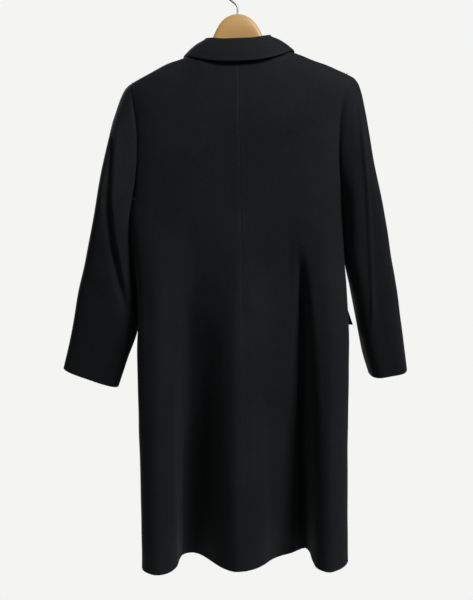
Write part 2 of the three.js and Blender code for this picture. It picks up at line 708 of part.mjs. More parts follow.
function standPoint(turn, down) {
  const { fold, edge, seam } = collarStation(turn);
  const outward = edge.clone().sub(fold).setZ(0).normalize();
  const top = fold.clone().lerp(seam, STAND_SHARE).addScaledVector(outward, STAND_SET);
  top.z -= SEAM_GAP * 3;
  const bottom = seam.clone().addScaledVector(outward, STAND_SET);
  bottom.z += SEAM_GAP / 2;
  return top.lerp(bottom, down);
}

const COLLAR_NUDGE = 0.02;

function collarPiece(surface, rows, columns) {
  const points = [];
  const normals = [];
  for (let i = 0; i <= rows; i += 1) {
    const v = i / rows;
    const row = [];
    const rowNormals = [];
    for (let j = 0; j <= columns; j += 1) {
      const u = (2 * j) / columns - 1;
      const heldU = Math.min(1 - COLLAR_NUDGE, Math.max(COLLAR_NUDGE - 1, u));
      const heldV = Math.min(1 - COLLAR_NUDGE, Math.max(COLLAR_NUDGE, v));
      row.push(surface(u, v));
      rowNormals.push(normalOf(surface, heldU, heldV, COLLAR_NUDGE, COLLAR_NUDGE));
    }
    points.push(row);
    normals.push(rowNormals);
  }
  return wallGeometry(points, normals, CLOTH);
}

// What lies on a front is made from the front's own points, moved out
function onFront(sideSign, share, level, lift) {
  return frontSurface(sideSign, share, level).addScaledVector(bodyNormal("front", share, level), lift);
}

function lapelPiece(sideSign) {
  const rows = 11;
  const columns = 4;
  const points = [];
  const normals = [];
  for (let i = 0; i <= rows; i += 1) {
    const row = [];
    const rowNormals = [];
    for (let j = 0; j <= columns; j += 1) {
      const top = LAPEL[0].level + (LAPEL[1].level - LAPEL[0].level) * (j / columns);
      const level = top + ((BREAK_LEVEL - top) * i) / rows;
      const width = Math.max(read(LAPEL, "level", "width", Math.max(level, LAPEL[1].level)), 2);
      const out = read(FRONT_EDGE, "level", "out", level) + (width * j) / columns + 0.2;
      const share = sideSign * shareAt(sideSign, out, level);
      row.push(onFront(sideSign, share, level, CLOTH + LAY_GAP + 0.6 * (j / columns)));
      rowNormals.push(bodyNormal("front", share, level));
    }
    points.push(row);
    normals.push(rowNormals);
  }
  return wallGeometry(points, normals, CLOTH);
}

function flapPiece(name, sideSign) {
  const rows = 3;
  const points = [];
  const normals = [];
  for (let i = 0; i <= rows; i += 1) {
    const row = [];
    const rowNormals = [];
    for (let j = FLAP.firstColumn; j <= FLAP.lastColumn; j += 1) {
      const along = (j - FLAP.firstColumn) / (FLAP.lastColumn - FLAP.firstColumn);
      const level = FLAP.topLevel + (FLAP.height * i) / rows;
      const share = sideSign * frontShare(sideSign, level, j);
      const stand = FLAP_STAND[name] * (i / rows) * ease(0.45, 1, along);
      row.push(onFront(sideSign, share, level, FLAP_CLOTH + LAY_GAP + stand));
      rowNormals.push(bodyNormal("front", share, level));
    }
    points.push(row);
    normals.push(rowNormals);
  }
  return wallGeometry(points, normals, FLAP_CLOTH);
}

function buttonPiece(level) {
  const profile = BUTTON_PROFILE.map((row) => new THREE.Vector2(row.radius, row.height));
  const geometry = new THREE.LatheGeometry(profile, BUTTON_SIDES);
  geometry.rotateX(Math.PI);
  let front = 0;
  for (const reach of [-BUTTON_RADIUS, 0, BUTTON_RADIUS]) {
    for (const share of BUTTON_SHARES) {
      front = Math.min(front, frontSurface(-1, share, level + reach).y);
    }
  }
  geometry.translate(0, front - LAY_GAP, -level);
  return geometry;
}

// Wooden body: oval sections from one arm's end to the other, bored for the hook's shank
function hangerBody() {
  const sides = 12;
  const mirrored = HANGER.slice(1).reverse().map((row) => ({ ...row, out: -row.out }));
  const rows = [...mirrored, ...HANGER];
  const positions = [];
  for (const row of rows) {
    for (let k = 0; k < sides; k += 1) {
      const angle = (2 * Math.PI * k) / sides;
      const depth = (row.thick / 2) * Math.sign(Math.cos(angle)) * Math.abs(Math.cos(angle)) ** 0.8;
      positions.push(row.out, depth, -row.top - row.tall / 2 + (row.tall / 2) * Math.sin(angle));
    }
  }
  const faces = [];
  for (let i = 0; i + 1 < rows.length; i += 1) {
    for (let k = 0; k < sides; k += 1) {
      const next = (k + 1) % sides;
      const a = i * sides + k;
      const b = i * sides + next;
      faces.push(a, a + sides, b + sides, a, b + sides, b);
    }
  }
  for (let k = 1; k + 1 < sides; k += 1) {
    const end = (rows.length - 1) * sides;
    faces.push(0, k, k + 1);
    faces.push(end, end + k + 1, end + k);
  }
  const geometry = new THREE.BufferGeometry();
  geometry.setAttribute("position", new THREE.Float32BufferAttribute(positions, 3));
  geometry.setIndex(faces.reverse());
  const bore = new THREE.CylinderGeometry(WIRE_RADIUS + SEAM_GAP, WIRE_RADIUS + SEAM_GAP, SHANK_SUNK * 2, 16);
  bore.rotateX(Math.PI / 2);
  bore.translate(0, 0, -HANGER_TOP_LEVEL);
  return fromManifold(toManifold(geometry).subtract(toManifold(bore)));
}

function toManifold(geometry) {
  const bare = new THREE.BufferGeometry();
  bare.setAttribute("position", geometry.getAttribute("position"));
  bare.setIndex(geometry.getIndex());
  const merged = mergeVertices(bare, 1e-4);
  return new wasm.Manifold(new wasm.Mesh({
    numProp: 3,
    vertProperties: new Float32Array(merged.getAttribute("position").array),
    triVerts: new Uint32Array(merged.getIndex().array),
  }));
}

function fromManifold(solid) {
  const mesh = solid.getMesh();
  const geometry = new THREE.BufferGeometry();
  geometry.setAttribute("position", new THREE.Float32BufferAttribute(mesh.vertProperties, 3));
  geometry.setIndex(Array.from(mesh.triVerts));
  return geometry;
}

// Hook: a straight shank that bends across to the foot of a round arc
function hangerHook() {
  const centre = -HOOK_RADIUS + WIRE_RADIUS;
  const points = [
    new THREE.Vector3(0, 0, -HANGER_TOP_LEVEL - SHANK_SUNK + 1),
    new THREE.Vector3(0, 0, -HANGER_TOP_LEVEL),
    new THREE.Vector3(0, 0, -SHANK_TOP_LEVEL),
    new THREE.Vector3(SHANK_BEND.out, 0, -SHANK_BEND.level),
  ];
  for (let degrees = HOOK_TURN.first; degrees <= HOOK_TURN.last; degrees += HOOK_TURN.step) {
    const angle = (degrees * Math.PI) / 180;
    points.push(new THREE.Vector3(HOOK_RADIUS * Math.cos(angle), 0, centre + HOOK_RADIUS * Math.sin(angle)));
  }
  const wire = new THREE.Shape();
  wire.absarc(0, 0, WIRE_RADIUS, 0, Math.PI * 2);
  const path = new THREE.CatmullRomCurve3(points);
  const options = { steps: 36, curveSegments: 4, bevelEnabled: false, extrudePath: path };
  return new THREE.ExtrudeGeometry(wire, options);
}

const coat = new THREE.Group();
const SIDES = [["left", 1], ["right", -1]];

for (const [name, sign] of SIDES) {
  coat.add(namedMesh(`back_${name}`, backPanel(sign), cloth));
  coat.add(namedMesh(`front_${name}`, frontPanel(sign), cloth));
  const upper = sleevePiece(name, sign, FRONT_SEAM_COLUMN - 2 * ARMHOLE_STEPS, BACK_SEAM_COLUMN);
  const under = sleevePiece(name, sign, BACK_SEAM_COLUMN, FRONT_SEAM_COLUMN);
  coat.add(namedMesh(`upper_sleeve_${name}`, upper, cloth));
  coat.add(namedMesh(`under_sleeve_${name}`, under, cloth));
  coat.add(namedMesh(`lapel_${name}`, lapelPiece(sign), cloth));
  coat.add(namedMesh(`pocket_flap_${name}`, flapPiece(name, sign), cloth));
}
coat.add(namedMesh("collar_fall", collarPiece(fallPoint, 7, 22), cloth));
coat.add(namedMesh("collar_stand", collarPiece(standPoint, 2, 22), cloth));
BUTTON_LEVELS.forEach((level, index) => {
  coat.add(namedMesh(`button_${index + 1}`, buttonPiece(level), horn));
});
coat.add(namedMesh("hanger_body", hangerBody(), wood));
coat.add(namedMesh("hanger_hook", hangerHook(), steel));

export default coat;
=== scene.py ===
"""A wool overcoat that hangs from behind on a wooden coat hanger.

Sizes in the tables are millimetres. The origin is the inside top of the hanger's hook, the coat's
front faces -Y and the wearer's left is +X. "Out" is the distance from the centre line towards
either side, "depth" is Y, and "level" is the distance below the origin.
"""

import functools
import math

import bpy
import numpy as np
from mathutils import Matrix, Vector


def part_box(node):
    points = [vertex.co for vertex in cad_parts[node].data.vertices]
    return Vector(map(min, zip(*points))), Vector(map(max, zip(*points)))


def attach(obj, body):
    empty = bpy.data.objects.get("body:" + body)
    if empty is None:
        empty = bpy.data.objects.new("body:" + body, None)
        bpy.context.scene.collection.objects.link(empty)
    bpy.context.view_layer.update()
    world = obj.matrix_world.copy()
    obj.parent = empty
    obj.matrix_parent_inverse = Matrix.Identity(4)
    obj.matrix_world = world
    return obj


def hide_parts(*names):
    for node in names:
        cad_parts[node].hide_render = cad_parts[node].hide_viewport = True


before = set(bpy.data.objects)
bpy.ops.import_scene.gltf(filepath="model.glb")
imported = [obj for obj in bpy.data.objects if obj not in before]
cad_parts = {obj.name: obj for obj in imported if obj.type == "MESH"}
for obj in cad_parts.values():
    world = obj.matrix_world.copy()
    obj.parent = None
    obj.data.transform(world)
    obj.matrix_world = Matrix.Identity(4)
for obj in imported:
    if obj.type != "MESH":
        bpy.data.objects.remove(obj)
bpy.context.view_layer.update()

MM = 0.001
TINY = 1e-6
NEAR = 0.1
UP = np.array([0.0, 0.0, 1.0])
TO_FRONT = np.array([0, -1, 0])

# Cloth
CLOTH = 2.2
TURNED_CLOTH = 4.0
TURN_UP = 40
SEAM_LAP = 0.6
LAY_GAP = 0.5
UNDERLAP_DROP = 5.5
UNDERLAP_OUTS = (26, 70)
FRONT_CREASE_FROM = (10, 40)
RIM_STEPS = 4
RIM_INSET = 0.8
# Reach of the pressed mask, which also lightens the wool's colour as a painted sheen
PRESSED_AND_SHEEN_REACH = 6

# Unevenness of the hung cloth: how much, and the seed of its waves
UNEVEN = {"back": (0.35, 11), "front": (0.35, 23), "sleeve": (0.4, 31), "collar": (0.3, 41)}

# Distance from a body's edge, and from a sleeve's head, at which the unevenness is full
UNEVEN_FROM = 25
SLEEVE_UNEVEN_FROM = 30

# How deep the cloth dips at each seam, and the half width of the dip
SEAMS = {
    "centre": (0.45, 1.8), "side": (0.5, 4), "shoulder": (0.6, 5), "sleeve": (0.5, 2.5),
    "armhole": (2.4, 6),
}

# Rows and columns of the grids. They lie closer together towards the edges.
ROWS = {
    "armhole": 84, "skirt": 130, "sleeve": 150, "fall": 46, "stand": 14, "lapel": 100, "flap": 26,
}
COLUMNS = {
    "back": 64, "front": 60, "upper_sleeve": 84, "under_sleeve": 34, "collar": 150, "lapel": 40,
    "flap": 70,
}
CROWD_REACH = 0.16

# Body
NECK_LEVEL = 150
UNDERARM_LEVEL = 424
HEM_LEVEL = 1121
NECK_HALF = 78
NECK_RISE = 16
NECK_DEPTH = {"back": 36, "front": -30}
BUTTON_OVERLAP = 20
BREAK_LEVEL = 402
SIDE_DEPTH = -5

# How much of a front's width the hem's folds take up
HEM_FULLNESS = 0.12

# Buttons
BUTTON_RADIUS = 12.5
BUTTON_THICK = 3.8
BUTTON_RIM = 2.6
BUTTON_DISH = 0.8
BUTTON_ROUNDING = 0.7
BUTTON_SLOPE = 0.9
BUTTON_FLOOR = 4.2
BUTTON_SINK = 0.1
HOLE_RADIUS = 1.15
HOLE_REACH = 2.1
THREAD_RADIUS = 0.42
THREAD_BEND = 0.7
THREAD_DEPTH = 2

# Hanger
WIRE_RADIUS = 1.9
HOOK_RADIUS = 22
SHANK_FOOT_LEVEL = 78
SHANK_TOP_LEVEL = 53.8
SHANK_BEND_RADIUS = 9.2
SHANK_BEND = 48
SHANK_SLANT = 15.7
HOOK_TURN = 252
HANGER_SIDES = 24
HANGER_BLANK = 10
END_INSET = 1.2
END_RISE = 0.8

# Place of the camera and the floor in metres, with the roll in degrees and the lens in millimetres
CAMERA_DISTANCE = 1.400
CAMERA_LEVEL = 0.623
CAMERA_ACROSS = 0.0106
CAMERA_ROLL = -0.9
CAMERA_LENS = 54.65
FLOOR_LEVEL = 1.75
FLOOR_RADIUS = 1.2

# Light: colour of the surroundings, how bright they are, and each lamp's place, size and power
SURROUNDINGS = (0.905, 0.905, 0.895, 1)
SURROUNDINGS_STRENGTH = 0.09
LAMPS = {"key": ((-2.0, 2.2, 2.1), 1.2, 98), "front_fill": ((1.6, -2.8, 1.0), 2.0, 70)}
LAMP_AIM = (0, 0, -0.6)


def table(names, *rows):
    """A table as one array for each named column."""
    return dict(zip(names.split(), np.array(rows, float).T))


# Level of each shoulder seam, from the neck point to the shoulder tip: the coat hangs a little
# higher on the wearer's right
SHOULDER_LINE = table(
    "out left right",
    (78, 134, 134), (105, 149, 142), (140, 161, 156), (175, 179.5, 169), (205, 195, 182),
    (217, 201, 188),
)

# How far the cloth has rounded over from the shoulder seam to its full depth
SHOULDER_ROUND = table(
    "below reach",
    (0, 0), (5, 0.3), (12, 0.5), (28, 0.72), (50, 0.86), (80, 0.95), (130, 1), (400, 1),
)

# Body sections by level. Left and right are the half widths, cut is how far out the armhole cuts
# the section, slope is the share of the shoulder's fall that a row keeps, square is the exponent
# that makes a section boxy, and fold is how far the hem's folds have grown.
BODY = table(
    "level slope left right cut back front square fold",
    (150, 1.0, 221, 225, 0.947, 50, -44, 4.6, 0),
    (172, 0.88, 218, 219, 0.948, 50, -45, 4.6, 0),
    (210, 0.68, 213, 213, 0.947, 51, -48, 4.6, 0),
    (270, 0.38, 207, 204, 0.946, 52, -51, 4.6, 0),
    (330, 0.12, 205, 200, 0.949, 52, -52, 4.6, 0),
    (375, 0.02, 206, 198, 0.96, 51, -52, 4.6, 0),
    (403, 0, 206, 198, 0.98, 50.1, -52, 4.52, 0),
    (418, 0, 207, 197, 0.996, 49.5, -51.95, 4.46, 0),
    (424, 0, 207.8, 197, 1, 49.25, -51.9, 4.43, 0),
    (450, 0, 212, 197, 1, 48, -51, 4.3, 0.01),
    (486, 0, 213, 198, 1, 47, -50, 4.2, 0.04),
    (545, 0, 208, 200, 1, 47, -50, 4, 0.11),
    (603, 0, 203, 205, 1, 49, -51, 3.8, 0.22),
    (662, 0, 204, 210, 1, 52, -53, 3.6, 0.33),
    (720, 0, 209, 214, 1, 55, -55, 3.4, 0.43),
    (850, 0, 209, 213, 1, 60, -60, 3.2, 0.63),
    (1000, 0, 205, 206, 1, 68, -64, 3, 0.84),
    (1121, 0, 200, 199, 1, 75, -68, 3, 1),
)

# Plan of the hem from the centre line out to each side seam, as points of out and depth
HEM = {
    ("back", "left"): [
        (0, 85), (21, 88), (43, 69), (58, 46), (76, 14), (91, -8), (106, -18), (121, -10),
        (127, 18), (130, 60), (144, 90), (165, 98), (190, 76), (197, 46), (197, 18), (194, -8),
    ],
    ("back", "right"): [
        (0, 85), (18, 74), (34, 54), (50, 26), (68, 7), (88, -6), (106, -24), (118, -34),
        (124, -10), (125, 40), (131, 80), (150, 98), (173, 82), (190, 52), (194, 20), (190, -8),
    ],
    ("front", "left"): [
        (0, -70), (28, -71), (56, -80), (78, -76), (96, -56), (118, -50), (140, -64),
        (162, -76), (184, -62), (193, -34), (194, -8),
    ],
    ("front", "right"): [
        (0, -70), (30, -71), (60, -77), (84, -82), (104, -68), (124, -52), (146, -58),
        (166, -70), (182, -58), (190, -34), (190, -8),
    ],
}

# Inner edge of each front: the neck, the lapel's roll line, then the buttoned edge
FRONT_EDGE = table(
    "level out",
    (150, 78), (175, 73), (200, 67), (250, 55), (350, 22), (402, 4), (440, -14),
    (465, -BUTTON_OVERLAP), (1121, -BUTTON_OVERLAP),
)

# Sleeve sections by level: outer edge, inner edge, depth of the middle, half depth, and how far
# the section leans (fall for each millimetre towards the body, and for each towards the back)
SLEEVE_COLUMNS = "level outer inner depth half_depth lean_in lean_back"
SLEEVE = {
    "left": table(
        SLEEVE_COLUMNS,
        (193, 205, 165, 0, 24, 0, 0), (196, 213, 165, 0, 26, 0, 0), (203, 222, 167, 0, 30, 0, 0),
        (220, 231, 173, -1, 37, 0, 0), (252, 241, 182, -2, 46, 0, 0),
        (311, 255, 193, -4, 56, 0, 0), (369, 268, 203, -6, 62, 0, 0),
        (428, 279, 212, -8, 64, 0.02, 0), (486, 292, 215, -14, 58, 0.05, 0.02),
        (545, 307, 210, -22, 50, 0.1, 0.05), (603, 321, 205, -24, 43, 0.17, 0.08),
        (662, 333, 207, -28, 36, 0.24, 0.12), (720, 345, 230, -32, 29, 0.31, 0.15),
        (773, 359, 249, -38, 24, 0.36, 0.17),
    ),
    "right": table(
        SLEEVE_COLUMNS,
        (184, 213, 168, 0, 24, 0, 0), (188, 222, 168, 0, 26, 0, 0), (196, 232, 169, 0, 30, 0, 0),
        (214, 240, 173, -1, 37, 0, 0), (252, 246, 180, -2, 46, 0, 0),
        (311, 252, 187, -4, 56, 0, 0), (369, 260, 194, -6, 63, 0, 0),
        (428, 272, 199, -8, 65, 0.01, 0), (486, 282, 200, -9, 61, 0.03, 0.03),
        (545, 291, 202, -11, 57, 0.05, 0.08), (603, 302, 214, -15, 53, 0.08, 0.14),
        (662, 311, 226, -24, 49, 0.11, 0.19), (720, 321, 239, -37, 46, 0.14, 0.23),
        (768, 329, 254, -49, 44, 0.16, 0.26),
    ),
}
# Distance over which a sleeve's head takes on the sleeve's own section
SLEEVE_SETTLE = 90
# Share of the armhole seam's dip that is left at the outermost part of the sleeve's head
HEAD_SUNK = 0.25
HEAD_TURN = (0.97, 0.75)
# Where the creases of one face fade out around the sleeve, as the sine of the angle
CREASE_TURN = (0.05, 0.35)
# How flat each sleeve's section is behind, from 0 for an oval
SLEEVE_FLAT = {"left": 0.45, "right": 0.5}
SLEEVE_FLAT_LEVELS = (230, 330)
# Steps from the shoulder tip down the back to the underarm, and the steps where a sleeve's seams lie
ARMHOLE_STEPS = 11
BACK_SEAM_STEP = 8
FRONT_SEAM_STEP = 14

# Collar stations from the centre back to the gorge: the fold line, the fall's lower edge and the
# neck seam
COLLAR = table(
    "turn fold_out fold_depth fold_level edge_out edge_depth edge_level seam_out seam_depth seam_level",
    (0, 0, 40, 127, 0, 55, 174.5, 0, 35.5, 150),
    (0.16, 27, 37, 126, 41, 52.5, 173, 27, 33.3, 149),
    (0.32, 50, 27, 120.5, 78, 42, 164, 53, 26.2, 144),
    (0.46, 61, 11, 117, 101, 21, 152, 70, 15.5, 137.8),
    (0.58, 65, -6, 121, 109, -4, 148.5, 77, 0, 134.2),
    (0.72, 66, -23, 134, 111, -32, 166, 74, -19, 147),
    (0.86, 65, -37, 152, 110, -45, 190, 71.5, -32, 163),
    (1, 63, -46, 174, 98, -50, 206, 68, -38, 179),
)

# On the wearer's right the fall lies higher, over the higher shoulder
COLLAR_LIFT = table(
    "turn lift",
    (0, 0), (0.3, 3), (0.48, 7.5), (0.64, 7), (0.86, 2), (1, 0),
)
COLLAR_REACH = 0.5
COLLAR_FOLD_LIFT = 0.7
STAND_SHARE = 0.28
STAND_SET = -1.4

# Section of the fall: share of the way down from the fold line, and how far out and up
FALL_SECTION = ((1, -1.5, 0), (0.66, 2.6, 1.5), (0.33, 3.0, 2), (0, 3.6, -2), (0, 0, 0))
FALL_TURN_IN = 3
# Added thickness of the fall along its lower edge
FALL_EDGE_CLOTH = 1.4
FALL_EDGE_REACH = (30, 8)

# Lapel width by level, measured across the chest from the roll line
LAPEL = table("level width", (186, 2), (238, 72), (290, 66), (350, 42), (402, 8))
LAPEL_SET = 0.2
LAPEL_LIFT = 0.6
LAPEL_PUFF = 1.2
ROLL_STEPS = 10

# Pocket flaps on the fronts
FLAP = {"top": 628, "height": 48, "first": 4 / 12, "last": 11 / 12}
FLAP_STAND = {"left": 2, "right": 18}
FLAP_CLOTH = 3.0
FLAP_CROWN = 0.8

# The grid that the lapels are laid on
FRONT_OUTS = (-24, 184)
FRONT_LEVELS = (160, 760)
FRONT_GRID = 2.0

# The cut of what shows of each piece: its greatest width and length, and its flat area in square
# metres, and what it hangs from or lies on
CUT = {
    "back": (0.345, 1.005, 0.268, ["hanger_body"]),
    "front": (0.285, 1.010, 0.226, ["hanger_body"]),
    "upper_sleeve": (0.290, 0.600, 0.128, ["back_{}", "front_{}"]),
    "under_sleeve": (0.110, 0.410, 0.0240, ["back_{}", "front_{}"]),
    "lapel": (0.100, 0.235, 0.0122, ["front_{}"]),
    "pocket_flap": (0.160, 0.052, 0.0078, ["front_{}"]),
    "collar_fall": (0.460, 0.066, 0.0218, ["collar_stand"]),
    "collar_stand": (0.310, 0.018, 0.0044, ["back_left", "back_right"]),
}

# Half of the hanger, from its hump to the end of an arm
HANGER = table(
    "out top tall thick",
    (0, 65, 62, 14), (12, 66.5, 61, 14), (24, 72.5, 57, 14), (34, 82, 51, 14), (42, 95, 42, 14),
    (50, 113, 33, 14), (60, 130, 26, 15), (71, 138.5, 23, 15), (80, 142, 22, 16),
    (105, 154.5, 21, 17), (140, 166.5, 20, 16), (175, 181, 18, 15), (196, 193, 12, 12),
    (201, 196.5, 6, 8),
)

# Creases: how far the cloth stands out (a trough is negative), the half width of the
# crease, how long its ends are, and its line as points of x and level
CREASES = {
    "back": [
        (-22, 8, 120, (-108, 510), (-114, 590), (-116, 700), (-117, 900), (-116, 1090)),
        (6, 11, 120, (-131, 560), (-134, 700), (-136, 920)),
        (4, 15, 110, (-96, 560), (-98, 700), (-94, 900)),
        (-7, 12, 100, (106, 590), (110, 760), (116, 960), (118, 1100)),
        (4, 14, 110, (124, 560), (130, 760), (138, 960)),
        (-8, 26, 120, (62, 640), (76, 800), (84, 1000)),
        (-3, 16, 110, (178, 560), (172, 760), (176, 960)),
        (-1.2, 22, 90, (48, 250), (22, 330), (14, 430)),
        (0.9, 24, 90, (-60, 220), (-34, 300), (-30, 400)),
        (2.4, 26, 120, (-40, 560), (-30, 760), (-36, 980)),
    ],
    "front": [
        (-2.4, 12, 60, (178, 380), (150, 430), (128, 500)),
        (-2.6, 12, 60, (-180, 370), (-156, 430), (-140, 520)),
        (-2.4, 16, 120, (92, 560), (98, 760), (100, 980)),
        (-2.8, 15, 110, (-110, 590), (-118, 780), (-122, 1000)),
        (-1.4, 10, 50, (40, 480), (70, 560), (88, 640)),
        (-1.2, 12, 60, (-44, 500), (-66, 590), (-80, 700)),
    ],
}


def clamp01(value):
    return np.clip(value, 0.0, 1.0)


def bell(value, reach):
    return np.exp(-((value / reach) ** 2))


def unit(vectors):
    return vectors / np.maximum(np.linalg.norm(vectors, axis=-1, keepdims=True), 1e-9)


def ease(low, high, value):
    t = clamp01((np.asarray(value, float) - low) / (high - low))
    return t * t * (3 - 2 * t)


def read(rows, column, value):
    """Smooth curve through a table's column by its first one, with flat ends beyond the table."""
    keys = next(iter(rows.values()))
    held = rows[column]
    last = len(keys) - 1
    below = np.maximum(np.arange(last + 1) - 1, 0)
    above = np.minimum(np.arange(last + 1) + 1, last)
    slopes = (held[above] - held[below]) / (keys[above] - keys[below])
    value = np.clip(value, keys[0], keys[last])
    i = np.clip(np.searchsorted(keys, value, side="left") - 1, 0, last - 1)
    span = keys[i + 1] - keys[i]
    t = (value - keys[i]) / span
    t2 = t * t
    t3 = t2 * t
    start = (2 * t3 - 3 * t2 + 1) * held[i] + (t3 - 2 * t2 + t) * span * slopes[i]
    return start + (3 * t2 - 2 * t3) * held[i + 1] + (t3 - t2) * span * slopes[i + 1]


def mirrored(rows, odd):
    """A table of one side continued to the other, with the odd columns changing sign."""
    both = {}
    for name, column in rows.items():
        sign = -1 if name in odd else 1
        both[name] = np.concatenate([sign * column[:0:-1], column])
    return both


def spline(points, shares):
    """Round curve through points (their places are the last axis), read at shares from 0 to 1."""
    points = np.asarray(points, float)
    ends = [2 * points[:1] - points[1:2], points, 2 * points[-1:] - points[-2:-1]]
    held = np.concatenate(ends)
    along = np.asarray(shares, float) * (len(points) - 1)
    i = np.clip(along.astype(int), 0, len(points) - 2)
    t = along - i
    p0, p1, p2, p3 = (held[i + k] for k in range(4))
    while t.ndim < p0.ndim:
        t = t[..., None]

    def knot(a, b):
        return np.maximum(np.sum((b - a) ** 2, axis=-1, keepdims=True) ** 0.25, 1e-4)

    d0, d1, d2 = knot(p0, p1), knot(p1, p2), knot(p2, p3)
    m1 = ((p1 - p0) / d0 - (p2 - p0) / (d0 + d1) + (p2 - p1) / d1) * d1
    m2 = ((p2 - p1) / d1 - (p3 - p1) / (d1 + d2) + (p3 - p2) / d2) * d1
    third = 2 * p1 - 2 * p2 + m1 + m2
    second = -3 * p1 + 3 * p2 - 2 * m1 - m2
    return p1 + m1 * t + second * t ** 2 + third * t ** 3


def run(points, axis=0):
    """Distance of each point from the first one along its line, or along its row or column."""
    steps = np.linalg.norm(np.diff(points, axis=axis), axis=-1)
    start = np.zeros_like(np.take(steps, [0], axis=axis))
    return np.concatenate([start, np.cumsum(steps, axis=axis)], axis=axis)


class Plan:
    """A curve seen from above, read at any share of its length."""

    def __init__(self, points):
        self.points = points
        self.along = run(points)
        self.length = self.along[-1]

    def at(self, share):
        target = clamp01(share) * self.length
        across = [np.interp(target, self.along, self.points[:, axis]) for axis in (0, 1)]
        return np.stack(across, axis=-1)

    def share_where(self, out):
        return float(np.interp(out, self.points[:, 0], self.along) / self.length)


HEM_PLANS = {}
for quarter, corners in HEM.items():
    HEM_PLANS[quarter] = Plan(spline(corners, np.linspace(0, 1, 600)))


@functools.lru_cache(maxsize=None)
def plain_section(face, side, level):
    """Plan of a quarter of the coat with no folds, and the share of it inside the armhole."""
    half_width = read(BODY, side, level)
    middle = read(BODY, face, level)
    power = 2 / read(BODY, "square", level)
    angle = np.linspace(0, 1, 500) ** 1.7 * (math.pi / 2)
    out = half_width * np.sin(angle) ** power
    depth = SIDE_DEPTH + (middle - SIDE_DEPTH) * np.maximum(0, np.cos(angle)) ** power
    plan = Plan(np.stack([out, depth], axis=-1))
    if level >= UNDERARM_LEVEL:
        return plan, 1.0
    return plan, plan.share_where(half_width * read(BODY, "cut", level))


def top_level(out, left):
    """Level of the neck seam and the shoulder seam. Left says which points are on the left side."""
    across = clamp01(out / NECK_HALF)
    neck = NECK_LEVEL - NECK_RISE * across ** 2.5
    shoulders = [read(SHOULDER_LINE, side, out) for side in ("left", "right")]
    return np.where(out >= NECK_HALF, np.where(left, *shoulders), neck)


def spread(along, cut):
    """Shares of a whole section. The columns near the armhole give way to it most."""
    return along - (1 - cut) * along ** 5


def body_row(face, share, level):
    """Points of the body at one level: share runs from -1 at the right edge to 1 at the left."""
    along = np.abs(share)
    plan = np.zeros(share.shape + (2,))
    fold = read(BODY, "fold", level) * ease(UNDERARM_LEVEL, UNDERARM_LEVEL + 70, level)
    for side, mine in (("left", share >= 0), ("right", share < 0)):
        section, cut = plain_section(face, side, float(level))
        plain = section.at(spread(along[mine], cut))
        folded = HEM_PLANS[face, side].at(along[mine])
        plan[mine] = plain + (folded - plain) * fold
    out = plan[:, 0]
    slope = read(BODY, "slope", level)
    top = top_level(out, share >= 0)
    height = -level + slope * (NECK_LEVEL - top)
    below = -top - height
    neck = NECK_DEPTH[face] * np.sqrt(1 - clamp01(out / NECK_HALF) ** 2)
    depth = neck + (plan[:, 1] - neck) * read(SHOULDER_ROUND, "reach", below)
    return np.stack([np.sign(share) * out, depth, height], axis=-1)


def body_grid(face, sign, shares, levels):
    """The wearer's left front lies under the right one along the buttons."""
    points = np.stack([body_row(face, row, level) for row, level in zip(shares, levels)])
    if face == "front" and sign > 0:
        points[..., 1] += UNDERLAP_DROP * (1 - ease(*UNDERLAP_OUTS, points[..., 0]))
    return points


def armhole_level(t):
    return NECK_LEVEL + (UNDERARM_LEVEL - NECK_LEVEL) * (1 - (1 - t ** 1.45) ** 2.1)


def crowded(count, close=0.4, first=True, last=True):
    """Shares from 0 to 1 that lie closer together near the ends that are asked for."""
    t = np.linspace(0, 1, count)
    middle = (t[1:] + t[:-1]) / 2
    pull = np.ones(count - 1)
    for wanted, gap in ((first, middle), (last, 1 - middle)):
        if wanted:
            pull *= 1 - (1 - close) * bell(gap, CROWD_REACH)
    shares = np.concatenate([[0], np.cumsum(pull)])
    return shares / shares[-1]


def normals_of(points, outward):
    """Unit normals of a grid. Outward says roughly which way they point."""
    down = np.gradient(points, axis=0)
    across = np.gradient(points, axis=1)
    normals = unit(np.cross(down, across))
    return -normals if np.sum(normals * outward) < 0 else normals


def crease_relief(creases, x, level):
    """How far the listed creases lift or sink the cloth at each point."""
    relief = np.zeros_like(x)
    for rise, reach, fade, *line in creases:
        line = np.array(line, float)
        steps = np.linalg.norm(np.diff(line, axis=0), axis=1)
        starts = run(line)
        nearest = np.full(x.shape, 1e9)
        along = np.zeros_like(x)
        for a, b, start, step in zip(line[:-1], line[1:], starts[:-1], steps):
            toward = (b - a) / step
            t = np.clip((x - a[0]) * toward[0] + (level - a[1]) * toward[1], 0, step)
            gap = np.hypot(x - a[0] - t * toward[0], level - a[1] - t * toward[1])
            closer = gap < nearest
            nearest = np.where(closer, gap, nearest)
            along = np.where(closer, start + t, along)
        ends = ease(0, fade, along) * ease(0, fade, starts[-1] - along)
        relief += rise * ends * bell(nearest, reach)
    return relief


def creased(face, points, levels, share=1.0):
    """Body points with the creases of their face set in straight from the back or the front."""
    moved = points.copy()
    x = points[..., 0]
    relief = crease_relief(CREASES[face], x, np.asarray(levels)[:, None] + 0 * x) * share
    moved[..., 1] += relief if face == "back" else -relief
    return moved


def hand_relief(x, level, rise, seed):
    """Slight unevenness of hung cloth, from a few long soft waves."""
    draw = np.random.default_rng(seed)
    relief = np.zeros_like(x)
    for wave in (46, 70, 110, 160):
        turn = draw.uniform(-0.5, 0.5)
        phase = draw.uniform(0, 2 * math.pi, 2)
        across = (x * math.cos(turn) + level * math.sin(turn)) * 2 * math.pi / wave
        down = level * 2 * math.pi / (wave * 3.1)
        relief += np.sin(across + phase[0]) * np.sin(down + phase[1]) * wave / 110
    return relief * rise


def seam_relief(distance, seam):
    """Cloth that rolls in at a pressed seam."""
    dip, reach = SEAMS[seam]
    return -dip * bell(distance, reach)


